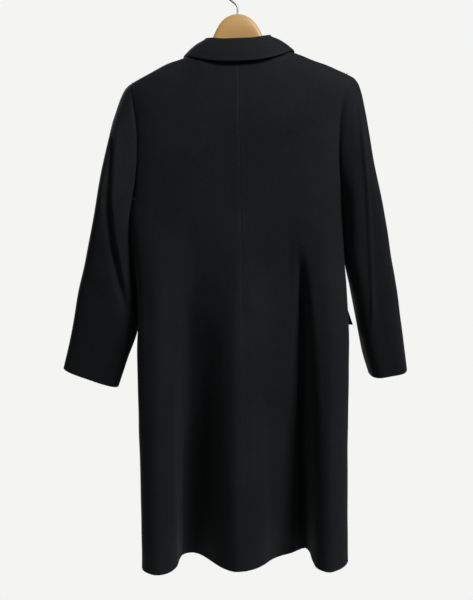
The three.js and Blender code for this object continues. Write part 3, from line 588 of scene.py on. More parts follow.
def raised(points, outward, relief):
    """Points moved out along their normals."""
    return points + normals_of(points, outward) * relief[..., None]


def turned_up(distance):
    """Thickness of the cloth at a distance from a turned-up hem or cuff."""
    return CLOTH + (TURNED_CLOTH - CLOTH) * ease(TURN_UP + 3, TURN_UP - 3, distance)


def pressing_and_sheen(*distances, reach=PRESSED_AND_SHEEN_REACH):
    """How flat the iron has pressed the cloth, from its distances to edges and seams; the same mask
    places a painted sheen.
    """
    return bell(functools.reduce(np.minimum, distances), reach)


def shell(points, normals, thickness):
    """Vertices and faces of a closed sheet with rounded edges, behind a grid of outer points."""
    rows, columns = points.shape[:2]
    thickness = np.broadcast_to(np.asarray(thickness, float), (rows, columns))[..., None]
    inner = points - normals * thickness
    edge = np.zeros_like(points)
    edge[0] -= points[1] - points[0]
    edge[-1] += points[-1] - points[-2]
    edge[:, 0] -= points[:, 1] - points[:, 0]
    edge[:, -1] += points[:, -1] - points[:, -2]
    edge -= normals * np.sum(edge * normals, axis=-1, keepdims=True)
    spacing = np.linalg.norm(edge, axis=-1, keepdims=True)
    edge /= np.maximum(spacing, 1e-9)
    half = thickness / 2
    inset = np.minimum(half, RIM_INSET * spacing)
    border = np.zeros((rows, columns, 1), bool)
    border[[0, -1]] = True
    border[:, [0, -1]] = True
    outer = np.where(border, points - edge * inset, points)
    inner = np.where(border, inner - edge * inset, inner)
    index = np.arange(rows * columns).reshape(rows, columns)
    ring = np.concatenate([index[0, :-1], index[:-1, -1], index[-1, :0:-1], index[:0:-1, 0]])
    flat = [a.reshape(-1, a.shape[-1]) for a in (points, normals, edge, half)]
    p, n, e, h = (a[ring] for a in flat)
    centre = p - n * h - e * h
    vertices = [outer.reshape(-1, 3), inner.reshape(-1, 3)]
    loops = [ring]
    for k in range(1, RIM_STEPS):
        angle = math.pi * k / RIM_STEPS
        loops.append(2 * rows * columns + (k - 1) * len(ring) + np.arange(len(ring)))
        vertices.append(centre + n * h * math.cos(angle) + e * h * math.sin(angle))
    loops.append(rows * columns + ring)
    a, b, c, d = index[:-1, :-1], index[1:, :-1], index[1:, 1:], index[:-1, 1:]
    quads = np.stack([a, b, c, d], axis=-1).reshape(-1, 4)
    faces = [quads, quads[:, ::-1] + rows * columns]
    for upper, lower in zip(loops[:-1], loops[1:]):
        faces.append(np.stack([upper, np.roll(upper, -1), np.roll(lower, -1), lower], axis=-1))
    faces = np.concatenate(faces)
    i, j = rows // 2, columns // 2
    down, across = points[i + 1, j] - points[i, j], points[i, j + 1] - points[i, j]
    if np.dot(np.cross(down, across), normals[i, j]) < 0:
        faces = faces[:, ::-1]
    return np.concatenate(vertices), faces, ring


def added(name, data):
    """A new object in the scene."""
    piece = bpy.data.objects.new(name, data)
    bpy.context.scene.collection.objects.link(piece)
    return piece


def sheet_piece(name, points, outward, thickness, pressed_and_sheen):
    """A cloth piece: its mesh, its thread lines as a UV map in metres, and how pressed it is, which
    also places a painted sheen in its colour.
    """
    vertices, faces, ring = shell(points, normals_of(points, outward), thickness)
    mesh = bpy.data.meshes.new(name)
    mesh.from_pydata((vertices * MM).tolist(), [], faces.tolist())
    threads = np.stack([run(points, axis=1), run(points)], axis=-1).reshape(-1, 2) * MM
    pressed_and_sheen = np.broadcast_to(pressed_and_sheen, points.shape[:2]).reshape(-1)
    threads, pressed_and_sheen = (
        np.concatenate([field, field, *[field[ring]] * (RIM_STEPS - 1)]) for field in (threads, pressed_and_sheen)
    )
    corners = np.zeros(len(mesh.loops), np.int32)
    mesh.loops.foreach_get("vertex_index", corners)
    mesh.uv_layers.new(name="threads").data.foreach_set("uv", threads[corners].ravel())
    # How pressed the cloth is, kept on the mesh; the wool paints a sheen from it as well
    ironed_and_sheen = mesh.attributes.new("pressed_and_sheen", "FLOAT", "POINT")
    ironed_and_sheen.data.foreach_set("value", pressed_and_sheen.astype(np.float32))
    mesh.shade_smooth()
    mesh.materials.append(WOOL)
    piece = added(f"{name}_cloth", mesh)
    told(piece, name)
    kind, _, side = name.rpartition("_")
    width, length, area, holders = CUT[kind if kind in CUT else name]
    holders = [holder.format(side) for holder in holders]


def body_edge_distances(shares, points):
    """Distance of each body point from the inner edge, the side or armhole, and the shoulder."""
    along = run(points, axis=1)
    below = -top_level(np.abs(points[..., 0]), shares >= 0) - points[..., 2]
    return along, along[:, -1:] - along, below


def body_levels():
    top = armhole_level(crowded(ROWS["armhole"], last=False))
    skirt = UNDERARM_LEVEL + (HEM_LEVEL - UNDERARM_LEVEL) * crowded(ROWS["skirt"], first=False)
    return np.concatenate([top, skirt[1:]])


def share_at(sign, out, level):
    """Share of a front's width that lies a given distance from the centre line."""
    section, cut = plain_section("front", "right" if sign < 0 else "left", float(level))
    plain = out / section.length
    for _ in range(3):
        plain = out / section.length + (1 - cut) * np.abs(plain) ** 5
    return plain * (1 - HEM_FULLNESS * read(BODY, "fold", level))


def front_shares(sign, levels, across):
    rows = []
    for level in levels:
        start = share_at(sign, read(FRONT_EDGE, "out", level), level)
        rows.append(sign * (start + (1 - start) * across))
    return np.array(rows)


def body_piece(face, name, sign):
    """Half of the back or one front, from its inner edge to the side seam."""
    levels = body_levels()
    across = crowded(COLUMNS[face], close=0.34)
    if face == "back":
        away = 1
        shares = np.tile(sign * np.maximum(across, TINY), (len(levels), 1))
    else:
        away = -1
        shares = front_shares(sign, levels, across)
    points = body_grid(face, sign, shares, levels)
    edge, side, shoulder = body_edge_distances(shares, points)
    dips = seam_relief(side, "side")
    crease_share = ease(*FRONT_CREASE_FROM, edge)
    if face == "back":
        points[:, 0, 0] = -sign * SEAM_LAP
        dips = seam_relief(edge, "centre") + dips
        crease_share = 1
    points[..., 1] -= away * np.where(side < TINY, SEAM_LAP, 0)
    points[0, :, 1] -= away * SEAM_LAP
    points = creased(face, points, levels, crease_share)
    relief = hand_relief(points[..., 0], -points[..., 2], *UNEVEN[face])
    relief = relief * ease(0, UNEVEN_FROM, np.minimum(side, edge))
    relief += dips + seam_relief(shoulder, "shoulder")
    outward = (0, away, 0.2)
    points = raised(points, outward, relief)
    hem = (HEM_LEVEL - levels)[:, None]
    pressed_and_sheen = pressing_and_sheen(edge, side, hem, shoulder)
    sheet_piece(f"{face}_{name}", points, outward, turned_up(hem), pressed_and_sheen)


def armhole_points(sign, columns):
    """The armhole runs from the shoulder tip (0) down the back to the underarm and up the front."""
    points = []
    for column in columns:
        column = column % (2 * ARMHOLE_STEPS)
        on_back = column <= ARMHOLE_STEPS
        t = (column if on_back else 2 * ARMHOLE_STEPS - column) / ARMHOLE_STEPS
        face = "back" if on_back else "front"
        points.append(body_row(face, np.array([float(sign)]), armhole_level(t))[0])
    return np.array(points)


ARMHOLE_COLUMNS = np.linspace(0, 2 * ARMHOLE_STEPS, 441)
ARMHOLE_ALONG = run(armhole_points(1, ARMHOLE_COLUMNS))
ARMHOLE_HALF = float(np.interp(ARMHOLE_STEPS, ARMHOLE_COLUMNS, ARMHOLE_ALONG))


def sleeve_angle(columns):
    """Angle round the sleeve at each step of the armhole."""
    along = np.interp(columns % (2 * ARMHOLE_STEPS), ARMHOLE_COLUMNS, ARMHOLE_ALONG)
    whole = ARMHOLE_ALONG[-1]
    behind = math.pi * along / ARMHOLE_HALF
    before = math.pi * (1 + (along - ARMHOLE_HALF) / (whole - ARMHOLE_HALF))
    return np.where(along <= ARMHOLE_HALF, behind, before)


def tube(name, sign, angle, level):
    """Points of a sleeve's plain section at each level."""
    columns = SLEEVE_COLUMNS.split()[1:]
    outer, inner, middle, half, lean_in, lean_back = (read(SLEEVE[name], c, level) for c in columns)
    across = (outer - inner) / 2 * np.cos(angle)
    flat = SLEEVE_FLAT[name] * ease(*SLEEVE_FLAT_LEVELS, level) * ease(0, 0.2, np.sin(angle))
    squared = 1 + flat * (np.cos(angle) ** 2 - 0.1)
    back = half * np.sin(angle) * squared
    fall = -across * lean_in + back * lean_back
    return np.stack([sign * ((outer + inner) / 2 + across), middle + back, -level - fall], axis=-1)


def sleeve_grid(name, sign, columns, downs):
    """A sleeve starts on the armhole and settles into its own section."""
    start = armhole_points(sign, columns)
    angle = sleeve_angle(columns)
    start_level = -start[:, 2]
    end_level = SLEEVE[name]["level"][-1]
    level = start_level + (end_level - start_level) * downs[:, None]
    settle = clamp01((level - start_level) / SLEEVE_SETTLE)
    offset = start - tube(name, sign, angle, start_level)
    points = tube(name, sign, angle + 0 * level, level)
    points = points + offset * ((1 - settle) ** 2)[..., None]
    points[..., 0] -= sign * 2 * SEAM_LAP * (1 - settle) ** 12
    return points, angle, level


# Creases of the sleeves, each with its face first: 1 is towards the back and -1 is towards the front
SLEEVE_CREASES = {
    "left": [
        (1, -8, 7, 80, (242, 270), (248, 375), (252, 432), (248, 508), (237, 575), (222, 650)),
        (1, 4, 6, 80, (230, 270), (237, 375), (241, 432), (237, 508), (226, 575), (212, 640)),
        (1, -1.6, 14, 40, (306, 560), (286, 600), (250, 640)),
        (-1, -4, 10, 60, (228, 300), (236, 400), (234, 500)),
        (-1, -3, 10, 40, (300, 560), (270, 590), (236, 610)),
    ],
    "right": [
        (1, 3.6, 3.6, 50, (-229, 220), (-231, 285), (-239, 435), (-245, 548), (-251, 679)),
        (-1, -4, 10, 60, (-226, 300), (-232, 400), (-236, 500)),
        (-1, -3, 10, 40, (-286, 560), (-262, 590), (-232, 605)),
    ],
}


def sleeve_piece(kind, name, sign, first, last):
    downs = crowded(ROWS["sleeve"], close=0.3)
    columns = first + (last - first) * crowded(COLUMNS[kind], close=0.5)
    points, angle, level = sleeve_grid(name, sign, columns, downs)
    along = run(points, axis=1)
    seam = np.minimum(along, along[:, -1:] - along)
    head = level - level[0]
    cuff = level[-1] - level
    for edge, next_in in ((0, 1), (-1, -2)):
        points[:, edge] += SEAM_LAP * unit(points[:, edge] - points[:, next_in])
    if kind == "under_sleeve":
        outward = np.array([-sign, 0, 0])
    else:
        outward = points - np.mean(points[:, [0, -1]], axis=1, keepdims=True)
    rise, seed = UNEVEN["sleeve"]
    relief = hand_relief(points[..., 0], level, rise, seed + sign) * ease(0, SLEEVE_UNEVEN_FROM, head)
    for face, *crease in SLEEVE_CREASES[name]:
        mine = ease(*CREASE_TURN, face * np.sin(angle))
        relief += crease_relief([crease], points[..., 0], level) * mine
    sunk = HEAD_SUNK + (1 - HEAD_SUNK) * ease(*HEAD_TURN, np.cos(angle))
    relief += seam_relief(seam, "sleeve") + seam_relief(head, "armhole") * sunk
    points = raised(points, outward, relief)
    pressed_and_sheen = pressing_and_sheen(seam, head, cuff)
    sheet_piece(f"{kind}_{name}", points, outward, turned_up(cuff), pressed_and_sheen)


COLLAR_BOTH = mirrored(COLLAR, ("turn", "fold_out", "edge_out", "seam_out"))


def collar_station(turn):
    """Points of the fold line, the fall's lower edge and the neck seam."""
    places = []
    for name in ("fold", "edge", "seam"):
        columns = [f"{name}_{part}" for part in ("out", "depth", "level")]
        out, depth, level = (read(COLLAR_BOTH, column, turn) for column in columns)
        places.append(np.stack([out, depth, -level], axis=-1))
    lift = np.where(turn < 0, read(COLLAR_LIFT, "lift", -turn), 0)
    fold, edge, seam = places
    edge[..., 2] += lift
    edge[..., 0] -= lift * COLLAR_REACH
    fold[..., 2] += lift * COLLAR_FOLD_LIFT
    return fold, edge, seam


def collar_outward(fold, edge):
    outward = edge - fold
    outward[..., 2] = 0
    return unit(outward)


def distance_from(points, part):
    return np.linalg.norm(points - part, axis=-1)


def fall_piece():
    """The fall rises from its lower edge, rolls over the fold line and ends inside the neck."""
    turn = np.linspace(-1, 1, COLUMNS["collar"])
    across = crowded(ROWS["fall"], close=0.35, last=False)
    fold, edge, seam = collar_station(turn)
    outward = collar_outward(fold, edge)
    inside = fold + (seam - fold) * STAND_SHARE + outward * STAND_SET
    path = [fold + (edge - fold) * down + outward * out + UP * up for down, out, up in FALL_SECTION]
    path += [inside + UP * FALL_TURN_IN, inside]
    points = spline(np.stack(path), across)
    low, *ends = (distance_from(points, part) for part in (points[:1], points[:, :1], points[:, -1:]))
    around = turn[None] * 140 + 0 * across[:, None]
    relief = hand_relief(around, 60 * across[:, None] + 0 * around, *UNEVEN["collar"])
    relief = relief + 0.4 * bell(low - 4, 3.5)
    points = raised(points, UP, relief)
    thickness = CLOTH + FALL_EDGE_CLOTH * ease(*FALL_EDGE_REACH, low)
    sheet_piece("collar_fall", points, UP, thickness, pressing_and_sheen(low, *ends))


def stand_piece():
    turn = np.linspace(-1, 1, COLUMNS["collar"])
    down = np.linspace(0, 1, ROWS["stand"])
    fold, edge, seam = collar_station(turn)
    outward = collar_outward(fold, edge)
    top = fold + (seam - fold) * STAND_SHARE + outward * STAND_SET
    top[:, 2] += SEAM_LAP
    bottom = seam + outward * STAND_SET
    bottom[:, 2] -= SEAM_LAP
    points = top[None] + (bottom - top)[None] * down[:, None, None]
    sheet_piece("collar_stand", points, outward[None], CLOTH, 0.3)


class FrontSurface:
    """A front's outer surface and normals, read at any distance out and level."""

    def __init__(self, sign):
        self.outs = np.arange(*FRONT_OUTS, FRONT_GRID)
        self.levels = np.arange(*FRONT_LEVELS, FRONT_GRID)
        shares = [sign * share_at(sign, self.outs, level) for level in self.levels]
        grid = body_grid("front", sign, np.array(shares), self.levels)
        self.points = creased("front", grid, self.levels)
        self.normals = normals_of(self.points, TO_FRONT)

    def at(self, out, level, lift):
        """Points that lie a given distance above the front."""
        i = np.clip((level - self.levels[0]) / FRONT_GRID, 0, len(self.levels) - 1.001)
        j = np.clip((out - self.outs[0]) / FRONT_GRID, 0, len(self.outs) - 1.001)
        low_i, low_j = i.astype(int), j.astype(int)
        t, u = (i - low_i)[..., None], (j - low_j)[..., None]
        places = []
        for grid in (self.points, self.normals):
            near = grid[low_i, low_j] * (1 - u) + grid[low_i, low_j + 1] * u
            far = grid[low_i + 1, low_j] * (1 - u) + grid[low_i + 1, low_j + 1] * u
            places.append(near * (1 - t) + far * t)
        return places[0] + places[1] * np.asarray(lift)[..., None]


FRONTS = {1: FrontSurface(1), -1: FrontSurface(-1)}


def lapel_piece(name, sign):
    """The lapel, with the roll of cloth that turns it back over the front's edge."""
    down = crowded(ROWS["lapel"])[:, None]
    across = crowded(COLUMNS["lapel"], close=0.35, first=False)[None]
    top = LAPEL["level"][0] + (LAPEL["level"][1] - LAPEL["level"][0]) * across
    levels = top + (BREAK_LEVEL - top) * down
    width = np.maximum(read(LAPEL, "width", np.maximum(levels, LAPEL["level"][1])), 2)
    out = read(FRONT_EDGE, "out", levels) + width * across + LAPEL_SET
    puff = LAPEL_PUFF * np.sin(math.pi * np.minimum(1, across * 1.6)) * (1 - across)
    points = FRONTS[sign].at(out, levels, CLOTH + LAY_GAP + LAPEL_LIFT * across + puff)
    radius = (CLOTH + LAY_GAP + CLOTH) / 2
    first, edge_normal = points[:, 0], normals_of(points, TO_FRONT)[:, 0]
    inward = first - points[:, 1]
    inward = unit(inward - edge_normal * np.sum(inward * edge_normal, axis=-1, keepdims=True))
    roll = []
    for k in range(ROLL_STEPS - 1, 0, -1):
        angle = math.pi * k / ROLL_STEPS
        behind = edge_normal * radius * (1 - math.cos(angle))
        roll.append(first - behind + inward * radius * math.sin(angle))
    points = np.concatenate([np.stack(roll, axis=1), points], axis=1)
    pressed_and_sheen = pressing_and_sheen(distance_from(points, points[:, -1:]), distance_from(points, points[:1]))
    sheet_piece(f"lapel_{name}", points, TO_FRONT, CLOTH, pressed_and_sheen)


def flap_piece(name, sign):
    down = crowded(ROWS["flap"])
    along = crowded(COLUMNS["flap"])
    levels = FLAP["top"] + FLAP["height"] * down
    shares = front_shares(sign, levels, FLAP["first"] + (FLAP["last"] - FLAP["first"]) * along)
    stand = FLAP_STAND[name] * down[:, None] * ease(0.45, 1, along)[None]
    crown = FLAP_CROWN * np.sin(math.pi * clamp01(down * 1.3))[:, None]
    points = creased("front", body_grid("front", sign, shares, levels), levels)
    points = raised(points, TO_FRONT, FLAP_CLOTH + LAY_GAP + stand + crown)
    edges = (points[-1:], points[:, -1:], points[:, :1])
    pressed_and_sheen = pressing_and_sheen(*(distance_from(points, edge) for edge in edges), reach=5)
    sheet_piece(f"pocket_flap_{name}", points, TO_FRONT, FLAP_CLOTH, pressed_and_sheen)


def sum_of(operation, swapped=False):
    """An operator that puts two values into a maths node."""
    def made(first, second):
        values = {0: second, 1: first} if swapped else {0: first, 1: second}
        return first.nodes.node("ShaderNodeMath", {"operation": operation}, values)
    return made


class Field:
    """A shader socket that can be used in sums, so that node maths reads as maths."""

    def __init__(self, nodes, socket):
        self.nodes = nodes
        self.socket = socket

    __add__ = __radd__ = sum_of("ADD")
    __sub__ = sum_of("SUBTRACT")
    __rsub__ = sum_of("SUBTRACT", swapped=True)
    __mul__ = sum_of("MULTIPLY")


class Finish:
    """One material: its nodes are added by node(), and feed one Principled shader."""

    def __init__(self, name):
        self.material = bpy.data.materials.new(name)
        self.material.use_nodes = True
        self.tree = self.material.node_tree
        self.shader = self.tree.nodes["Principled BSDF"]
        self.where = self.node("ShaderNodeTexCoord", {}, {}, "Object")

    def node(self, kind, settings, inputs, output=0):
        made = self.tree.nodes.new(kind)
        for key, value in settings.items():
            setattr(made, key, value)
        for key, value in inputs.items():
            self.feed(made.inputs[key], value)
        return Field(self, made.outputs[output])

    def feed(self, socket, value):
        if isinstance(value, Field):
            self.tree.links.new(value.socket, socket)
        else:
            socket.default_value = value

    def noise(self, scale, detail=2.0, stretch=(1, 1, 1), where=None):
        placed = self.node("ShaderNodeMapping", {}, {"Vector": where or self.where, "Scale": stretch})
        return self.node("ShaderNodeTexNoise", {}, {"Vector": placed, "Scale": scale, "Detail": detail})

    def mix(self, share, low, high):
        return self.node("ShaderNodeMix", {"data_type": "RGBA"}, {0: share, 6: low, 7: high}, 2)

    def ramp(self, value, low, high):
        made = self.node("ShaderNodeValToRGB", {}, {"Fac": value})
        black, white = made.socket.node.color_ramp.elements
        black.position, white.position = low, high
        return made

    def bump(self, height, distance, strength):
        inputs = {"Height": height, "Distance": distance, "Strength": strength}
        return self.node("ShaderNodeBump", {}, inputs)

    def shade(self, values):
        for key, value in values.items():
            self.feed(self.shader.inputs[key], value)
        return self.material


def wool_finish():
    """Brushed coating wool: near black, faintly blue green, with a short nap that runs down."""
    wool = Finish("brushed_wool")
    threads = wool.node("ShaderNodeUVMap", {"uv_map": "threads"}, {})
    pressed_and_sheen = wool.node("ShaderNodeAttribute", {"attribute_name": "pressed_and_sheen"}, {}, "Fac")
    patches = wool.noise(9, 3)
    felt = wool.noise(260, 4, (1, 1, 0.55))
    fibres = wool.noise(1400, 2, (1, 0.3, 1), threads)
    tone = wool.ramp(patches * 0.55 + felt * 0.3 + fibres * 0.15, 0.3, 0.7)
    colour = wool.mix(tone, (0.0078, 0.0092, 0.0102, 1), (0.0165, 0.0190, 0.0205, 1))
    # Painted sheen: pressed edges and seams are mixed towards a lighter colour that stands in for the
    # shine of pressed wool
    colour = wool.mix(pressed_and_sheen * 0.07, colour, (0.0185, 0.021, 0.0225, 1))
    return wool.shade({
        "Base Color": colour,
        "Roughness": 0.9 - pressed_and_sheen * 0.08 - felt * 0.06,
        "Normal": wool.bump(felt * 0.6 + fibres * 0.4, 0.0006, 0.55),
        "Sheen Weight": 0.1,
        "Sheen Roughness": 0.45,
        "Sheen Tint": (0.55, 0.62, 0.66, 1),
        "Specular IOR Level": 0.22,
    })


def wood_finish():
    """Varnished beech: long grain along the arms with fine dark pores."""
    wood = Finish("varnished_wood")
    grain = wood.noise(70, 5, (0.06, 1, 1))
    pores = wood.noise(420, 3, (0.04, 1, 1))
    wave = wood.noise(9, 2, (0.3, 1, 1))
    tone = wood.ramp(grain * 0.5 + pores * 0.25 + wave * 0.25, 0.34, 0.64)
    return wood.shade({
        "Base Color": wood.mix(tone, (0.90, 0.49, 0.17, 1), (1.0, 0.60, 0.235, 1)),
        "Roughness": 0.5 - tone * 0.1,
        "Coat Weight": 0.2,
        "Coat Roughness": 0.3,
        "Normal": wood.bump(pores * 0.6 + grain * 0.4, 0.0002, 0.5),
    })


def steel_finish():
    """Drawn steel wire: bright, with faint lines along it."""
    steel = Finish("drawn_steel")
    lines = steel.noise(900, 2, (1, 1, 0.12))
    tarnish = steel.noise(60, 3)
    return steel.shade({
        "Base Color": steel.mix(tarnish, (0.36, 0.365, 0.37, 1), (0.62, 0.63, 0.64, 1)),
        "Metallic": 1.0,
        "Roughness": 0.24 + lines * 0.14 + tarnish * 0.08,
        "Normal": steel.bump(lines, 0.00004, 0.4),
    })


def button_finish():
    """Near-black buffed horn with faint brown clouds."""
    horn = Finish("dark_horn")
    cloud = horn.ramp(horn.noise(95, 3, (1, 1, 0.4)), 0.4, 0.72)
    scuffs = horn.noise(1600, 2)
    return horn.shade({
        "Base Color": horn.mix(cloud, (0.006, 0.006, 0.0065, 1), (0.026, 0.019, 0.015, 1)),
        "Roughness": 0.24 + scuffs * 0.16,
        "Coat Weight": 0.2,
        "Normal": horn.bump(scuffs, 0.00003, 0.5),
    })


def thread_finish():
    """Twisted black sewing thread."""
    thread = Finish("sewing_thread")
    twist = thread.noise(3600, 2, (1, 1, 0.4))
    return thread.shade({
        "Base Color": thread.mix(twist, (0.008, 0.009, 0.0095, 1), (0.024, 0.026, 0.028, 1)),
        "Roughness": 0.7,
        "Normal": thread.bump(twist, 0.0001, 0.8),
    })


def started(operator, **settings):
    """A new primitive, with nothing else selected, in edit mode and selected all over."""
    bpy.ops.object.select_all(action="DESELECT")
    operator(**settings)
    bpy.ops.object.mode_set(mode="EDIT")
    bpy.ops.mesh.select_mode(type="VERT")
    return bpy.context.object


def pick(piece, test):
    """Selects the vertices whose places in millimetres pass a test."""
    bpy.ops.mesh.select_all(action="DESELECT")
    bpy.ops.object.mode_set(mode="OBJECT")
    for vertex in piece.data.vertices:
        vertex.select = bool(test(piece.matrix_world @ vertex.co / MM))
    bpy.ops.object.mode_set(mode="EDIT")
    bpy.ops.mesh.select_mode(type="VERT")


def told(piece, node=None):
    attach(piece, "root")
    if node:
        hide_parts(node)


def finished(piece, name, material, part=None, node=None, smooth=40):
    bpy.ops.object.mode_set(mode="OBJECT")
    bpy.ops.object.transform_apply(location=True, rotation=True, scale=True)
    for modifier in list(piece.modifiers):
        bpy.ops.object.modifier_apply(modifier=modifier.name)
    bpy.ops.object.shade_smooth_by_angle(angle=math.radians(smooth))
    piece.name = name
    piece.data.name = name
    piece.data.materials.append(material)
    if part:
        told(piece, node)
    return piece


def hanger_wood_piece():
    """A round bar is cut across at each station, and each ring is sized and moved to its section."""
    rows = mirrored(HANGER, ("out",))
    length = 2 * HANGER["out"][-1]
    piece = started(
        bpy.ops.mesh.primitive_cylinder_add, vertices=HANGER_SIDES, radius=HANGER_BLANK * MM,
        depth=length * MM, rotation=(0, math.pi / 2, 0),
    )
    for out in rows["out"][1:-1]:
        bpy.ops.mesh.select_all(action="SELECT")
        bpy.ops.mesh.bisect(plane_co=(out * MM, 0, 0), plane_no=(1, 0, 0))
    for out, top, tall, thick in zip(*(rows[c] for c in ("out", "top", "tall", "thick"))):
        pick(piece, lambda place: abs(place.x - out) < NEAR)
        size = (1, thick / 2 / HANGER_BLANK, tall / 2 / HANGER_BLANK)
        bpy.ops.transform.resize(value=size, center_override=(out * MM, 0, 0))
        bpy.ops.transform.translate(value=(0, 0, -(top + tall / 2) * MM))
    for end in (-1, 1):
        pick(piece, lambda place: abs(place.x - end * length / 2) < NEAR)
        bpy.ops.mesh.inset(thickness=END_INSET * MM, depth=END_RISE * MM)
    rounding = piece.modifiers.new("rounding", "SUBSURF")
    rounding.levels = rounding.render_levels = 2
    finished(piece, "hanger_arms", wood_finish(), "hanger_wood", "hanger_body", smooth=60)


def go(step):
    bpy.ops.mesh.extrude_region_move(TRANSFORM_OT_translate={"value": Vector(step) * MM})


def turn(steps, degrees, centre, axis):
    bpy.ops.mesh.spin(steps=steps, angle=math.radians(degrees), center=Vector(centre) * MM, axis=axis)


def face_out():
    bpy.ops.mesh.select_all(action="SELECT")
    bpy.ops.mesh.normals_make_consistent(inside=False)


def round_tip(radius, direction, place):
    """A blunt round end, drawn out in three narrowing rings."""
    at = Vector(place)
    reach = 0.0
    width = 1.0
    for degrees in (30, 60, 84):
        step = radius * math.sin(math.radians(degrees)) - reach
        share = math.cos(math.radians(degrees))
        go(Vector(direction) * step)
        reach += step
        at += Vector(direction) * step
        bpy.ops.transform.resize(value=(share / width,) * 3, center_override=at * MM)
        width = share


def hook_piece():
    """A wire is drawn up from the wood, bent across, and turned round the arc."""
    piece = started(
        bpy.ops.mesh.primitive_circle_add, vertices=20, radius=WIRE_RADIUS * MM, fill_type="NGON",
        location=(0, 0, -SHANK_FOOT_LEVEL * MM),
    )
    bpy.ops.mesh.select_all(action="SELECT")
    go((0, 0, SHANK_FOOT_LEVEL - SHANK_TOP_LEVEL))
    turn(8, -SHANK_BEND, (SHANK_BEND_RADIUS, 0, -SHANK_TOP_LEVEL), (0, 1, 0))
    lean = math.radians(SHANK_BEND)
    go((SHANK_SLANT * math.sin(lean), 0, SHANK_SLANT * math.cos(lean)))
    middle = WIRE_RADIUS - HOOK_RADIUS
    turn(56, HOOK_TURN, (0, 0, middle), (0, 1, 0))
    last = math.radians(HOOK_TURN - SHANK_BEND)
    tip = (HOOK_RADIUS * math.cos(last), 0, middle + HOOK_RADIUS * math.sin(last))
    round_tip(WIRE_RADIUS, (-math.sin(last), 0, math.cos(last)), tip)
    face_out()
    finished(piece, "hook_wire", steel_finish(), "hanger_steel", "hanger_hook", smooth=60)


def button_disc(centre, front):
    """A turned disc with a raised rim and four holes bored through."""
    middle = Vector((centre.x, front + BUTTON_THICK / 2, centre.z))
    disc = started(
        bpy.ops.mesh.primitive_cylinder_add, vertices=72, radius=BUTTON_RADIUS * MM,
        depth=BUTTON_THICK * MM, rotation=(math.pi / 2, 0, 0), location=middle * MM,
    )
    pick(disc, lambda place: place.y < front + NEAR)
    bpy.ops.mesh.inset(thickness=BUTTON_RIM * MM, depth=0)
    bpy.ops.mesh.inset(thickness=BUTTON_SLOPE * MM, depth=-BUTTON_DISH * MM)
    bpy.ops.mesh.inset(thickness=BUTTON_FLOOR * MM, depth=-BUTTON_SINK * MM)
    edges = disc.modifiers.new("edges", "BEVEL")
    edges.width = BUTTON_ROUNDING * MM
    edges.segments = 4
    edges.limit_method = "ANGLE"
    edges.angle_limit = math.radians(30)
    drills = []
    for across, up in ((-1, -1), (-1, 1), (1, -1), (1, 1)):
        bpy.ops.object.mode_set(mode="OBJECT")
        drill = started(
            bpy.ops.mesh.primitive_cylinder_add, vertices=20, radius=HOLE_RADIUS * MM,
            depth=3 * BUTTON_THICK * MM, rotation=(math.pi / 2, 0, 0),
            location=(middle + Vector((across, 0, up)) * HOLE_REACH) * MM,
        )
        bpy.ops.object.mode_set(mode="OBJECT")
        bore = disc.modifiers.new("bore", "BOOLEAN")
        bore.object = drill
        drills.append(drill)
    bpy.ops.object.select_all(action="DESELECT")
    disc.select_set(True)
    bpy.context.view_layer.objects.active = disc
    finished(disc, "button_1_disc", button_finish())
    for drill in drills:
        bpy.data.objects.remove(drill)
    return disc


def button_stitch(centre, face):
    """Two short bars of thread, each of which goes down through a pair of holes."""
    left = centre.x - HOLE_REACH
    low, high = centre.z - HOLE_REACH, centre.z + HOLE_REACH
    stitches = started(
        bpy.ops.mesh.primitive_circle_add, vertices=12, radius=THREAD_RADIUS * MM, fill_type="NGON",
        rotation=(math.pi / 2, 0, 0), location=Vector((left, face + THREAD_DEPTH, low)) * MM,
    )
    bpy.ops.mesh.select_all(action="SELECT")
    drop = THREAD_DEPTH - THREAD_RADIUS
    corner = face + THREAD_RADIUS
    go((0, -drop, 0))
    turn(5, 90, (left, corner, low + THREAD_BEND), (1, 0, 0))
    go((0, 0, 2 * (HOLE_REACH - THREAD_BEND)))
    turn(5, 90, (left, corner, high - THREAD_BEND), (1, 0, 0))
    go((0, drop, 0))
    face_out()
    bpy.ops.mesh.duplicate_move(TRANSFORM_OT_translate={"value": (2 * HOLE_REACH * MM, 0, 0)})
    return finished(stitches, "button_1_thread", thread_finish(), smooth=60)


def copied(piece, name, step):
    """A copy with its own mesh, moved by a step."""
    copy = added(name, piece.data.copy())
    copy.data.transform(Matrix.Translation(Vector(step)))
    return copy


def buttons():
    boxes = [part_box(f"button_{k}") for k in (1, 2, 3)]
    middles = [(low + high) / 2 for low, high in boxes]
    fronts = [low.y for low, high in boxes]
    disc = button_disc(middles[0] / MM, fronts[0] / MM)
    stitch = button_stitch(middles[0] / MM, fronts[0] / MM + BUTTON_DISH + BUTTON_SINK)
    discs, stitches = [disc], [stitch]
    for k in (1, 2):
        step = (0, fronts[k] - fronts[0], middles[k].z - middles[0].z)
        discs.append(copied(disc, f"button_{k + 1}_disc", step))
        stitches.append(copied(stitch, f"button_{k + 1}_thread", step))
    for k, (disc, stitch) in enumerate(zip(discs, stitches), start=1):
        told(disc, f"button_{k}")
        told(stitch)


WOOL = wool_finish()
for side_name, side_sign in (("left", 1), ("right", -1)):
    body_piece("back", side_name, side_sign)
    body_piece("front", side_name, side_sign)
    front_seam = FRONT_SEAM_STEP - 2 * ARMHOLE_STEPS
    sleeve_piece("upper_sleeve", side_name, side_sign, front_seam, BACK_SEAM_STEP)
    sleeve_piece("under_sleeve", side_name, side_sign, BACK_SEAM_STEP, FRONT_SEAM_STEP)
    lapel_piece(side_name, side_sign)
    flap_piece(side_name, side_sign)
fall_piece()
stand_piece()
hanger_wood_piece()
hook_piece()
buttons()


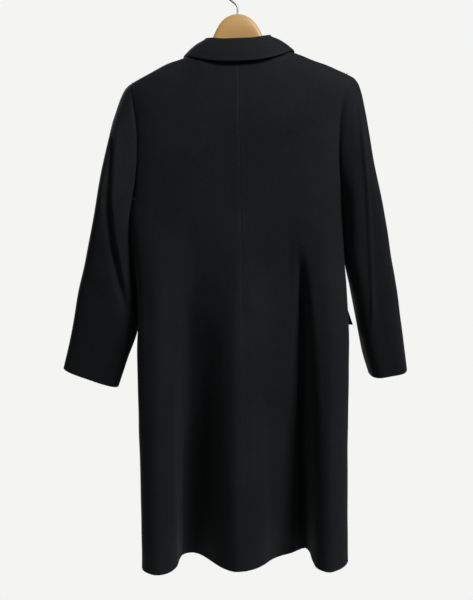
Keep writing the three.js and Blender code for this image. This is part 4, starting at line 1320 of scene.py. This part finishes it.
def lamp(name, place, size, power):
    light = bpy.data.lights.new(name, "AREA")
    light.shape = "SQUARE"
    light.size = size
    light.energy = power
    holder = added(name, light)
    holder.location = place
    holder.rotation_euler = (Vector(LAMP_AIM) - Vector(place)).to_track_quat("-Z", "Y").to_euler()


def studio():
    """Even surroundings that look bright but light the coat faintly, two lamps and a floor."""
    scene = bpy.context.scene
    scene.view_settings.view_transform = "Standard"
    world = bpy.data.worlds.new("studio")
    scene.world = world
    world.use_nodes = True
    nodes, links = world.node_tree.nodes, world.node_tree.links
    lit, seen = nodes["Background"], nodes.new("ShaderNodeBackground")
    rays, either = nodes.new("ShaderNodeLightPath"), nodes.new("ShaderNodeMixShader")
    lit.inputs["Strength"].default_value = SURROUNDINGS_STRENGTH
    links.new(rays.outputs["Is Camera Ray"], either.inputs["Fac"])
    for slot, background in ((1, lit), (2, seen)):
        background.inputs["Color"].default_value = SURROUNDINGS
        links.new(background.outputs["Background"], either.inputs[slot])
    links.new(either.outputs["Shader"], nodes["World Output"].inputs["Surface"])
    for name, (place, size, power) in LAMPS.items():
        lamp(name, place, size, power)
    bpy.ops.mesh.primitive_circle_add(
        vertices=128, radius=FLOOR_RADIUS, fill_type="NGON", location=(0, 0, -FLOOR_LEVEL),
    )
    floor = bpy.context.object
    floor.name = "floor"
    paint = Finish("pale_floor")
    tone = paint.noise(3, 2)
    colour = paint.mix(tone, (0.60, 0.598, 0.588, 1), (0.66, 0.657, 0.645, 1))
    floor.data.materials.append(paint.shade({"Base Color": colour, "Roughness": 0.8}))


def photo_camera():
    camera = added("camera", bpy.data.cameras.new("camera"))
    camera.data.sensor_fit = "HORIZONTAL"
    camera.data.sensor_width = 36
    camera.data.lens = CAMERA_LENS
    place = Matrix.Translation((CAMERA_ACROSS, CAMERA_DISTANCE, -CAMERA_LEVEL))
    look = Vector((0, -1, 0)).to_track_quat("-Z", "Y").to_matrix().to_4x4()
    camera.matrix_world = place @ look @ Matrix.Rotation(math.radians(CAMERA_ROLL), 4, "Z")
    bpy.context.scene.camera = camera


photo_camera()
studio()
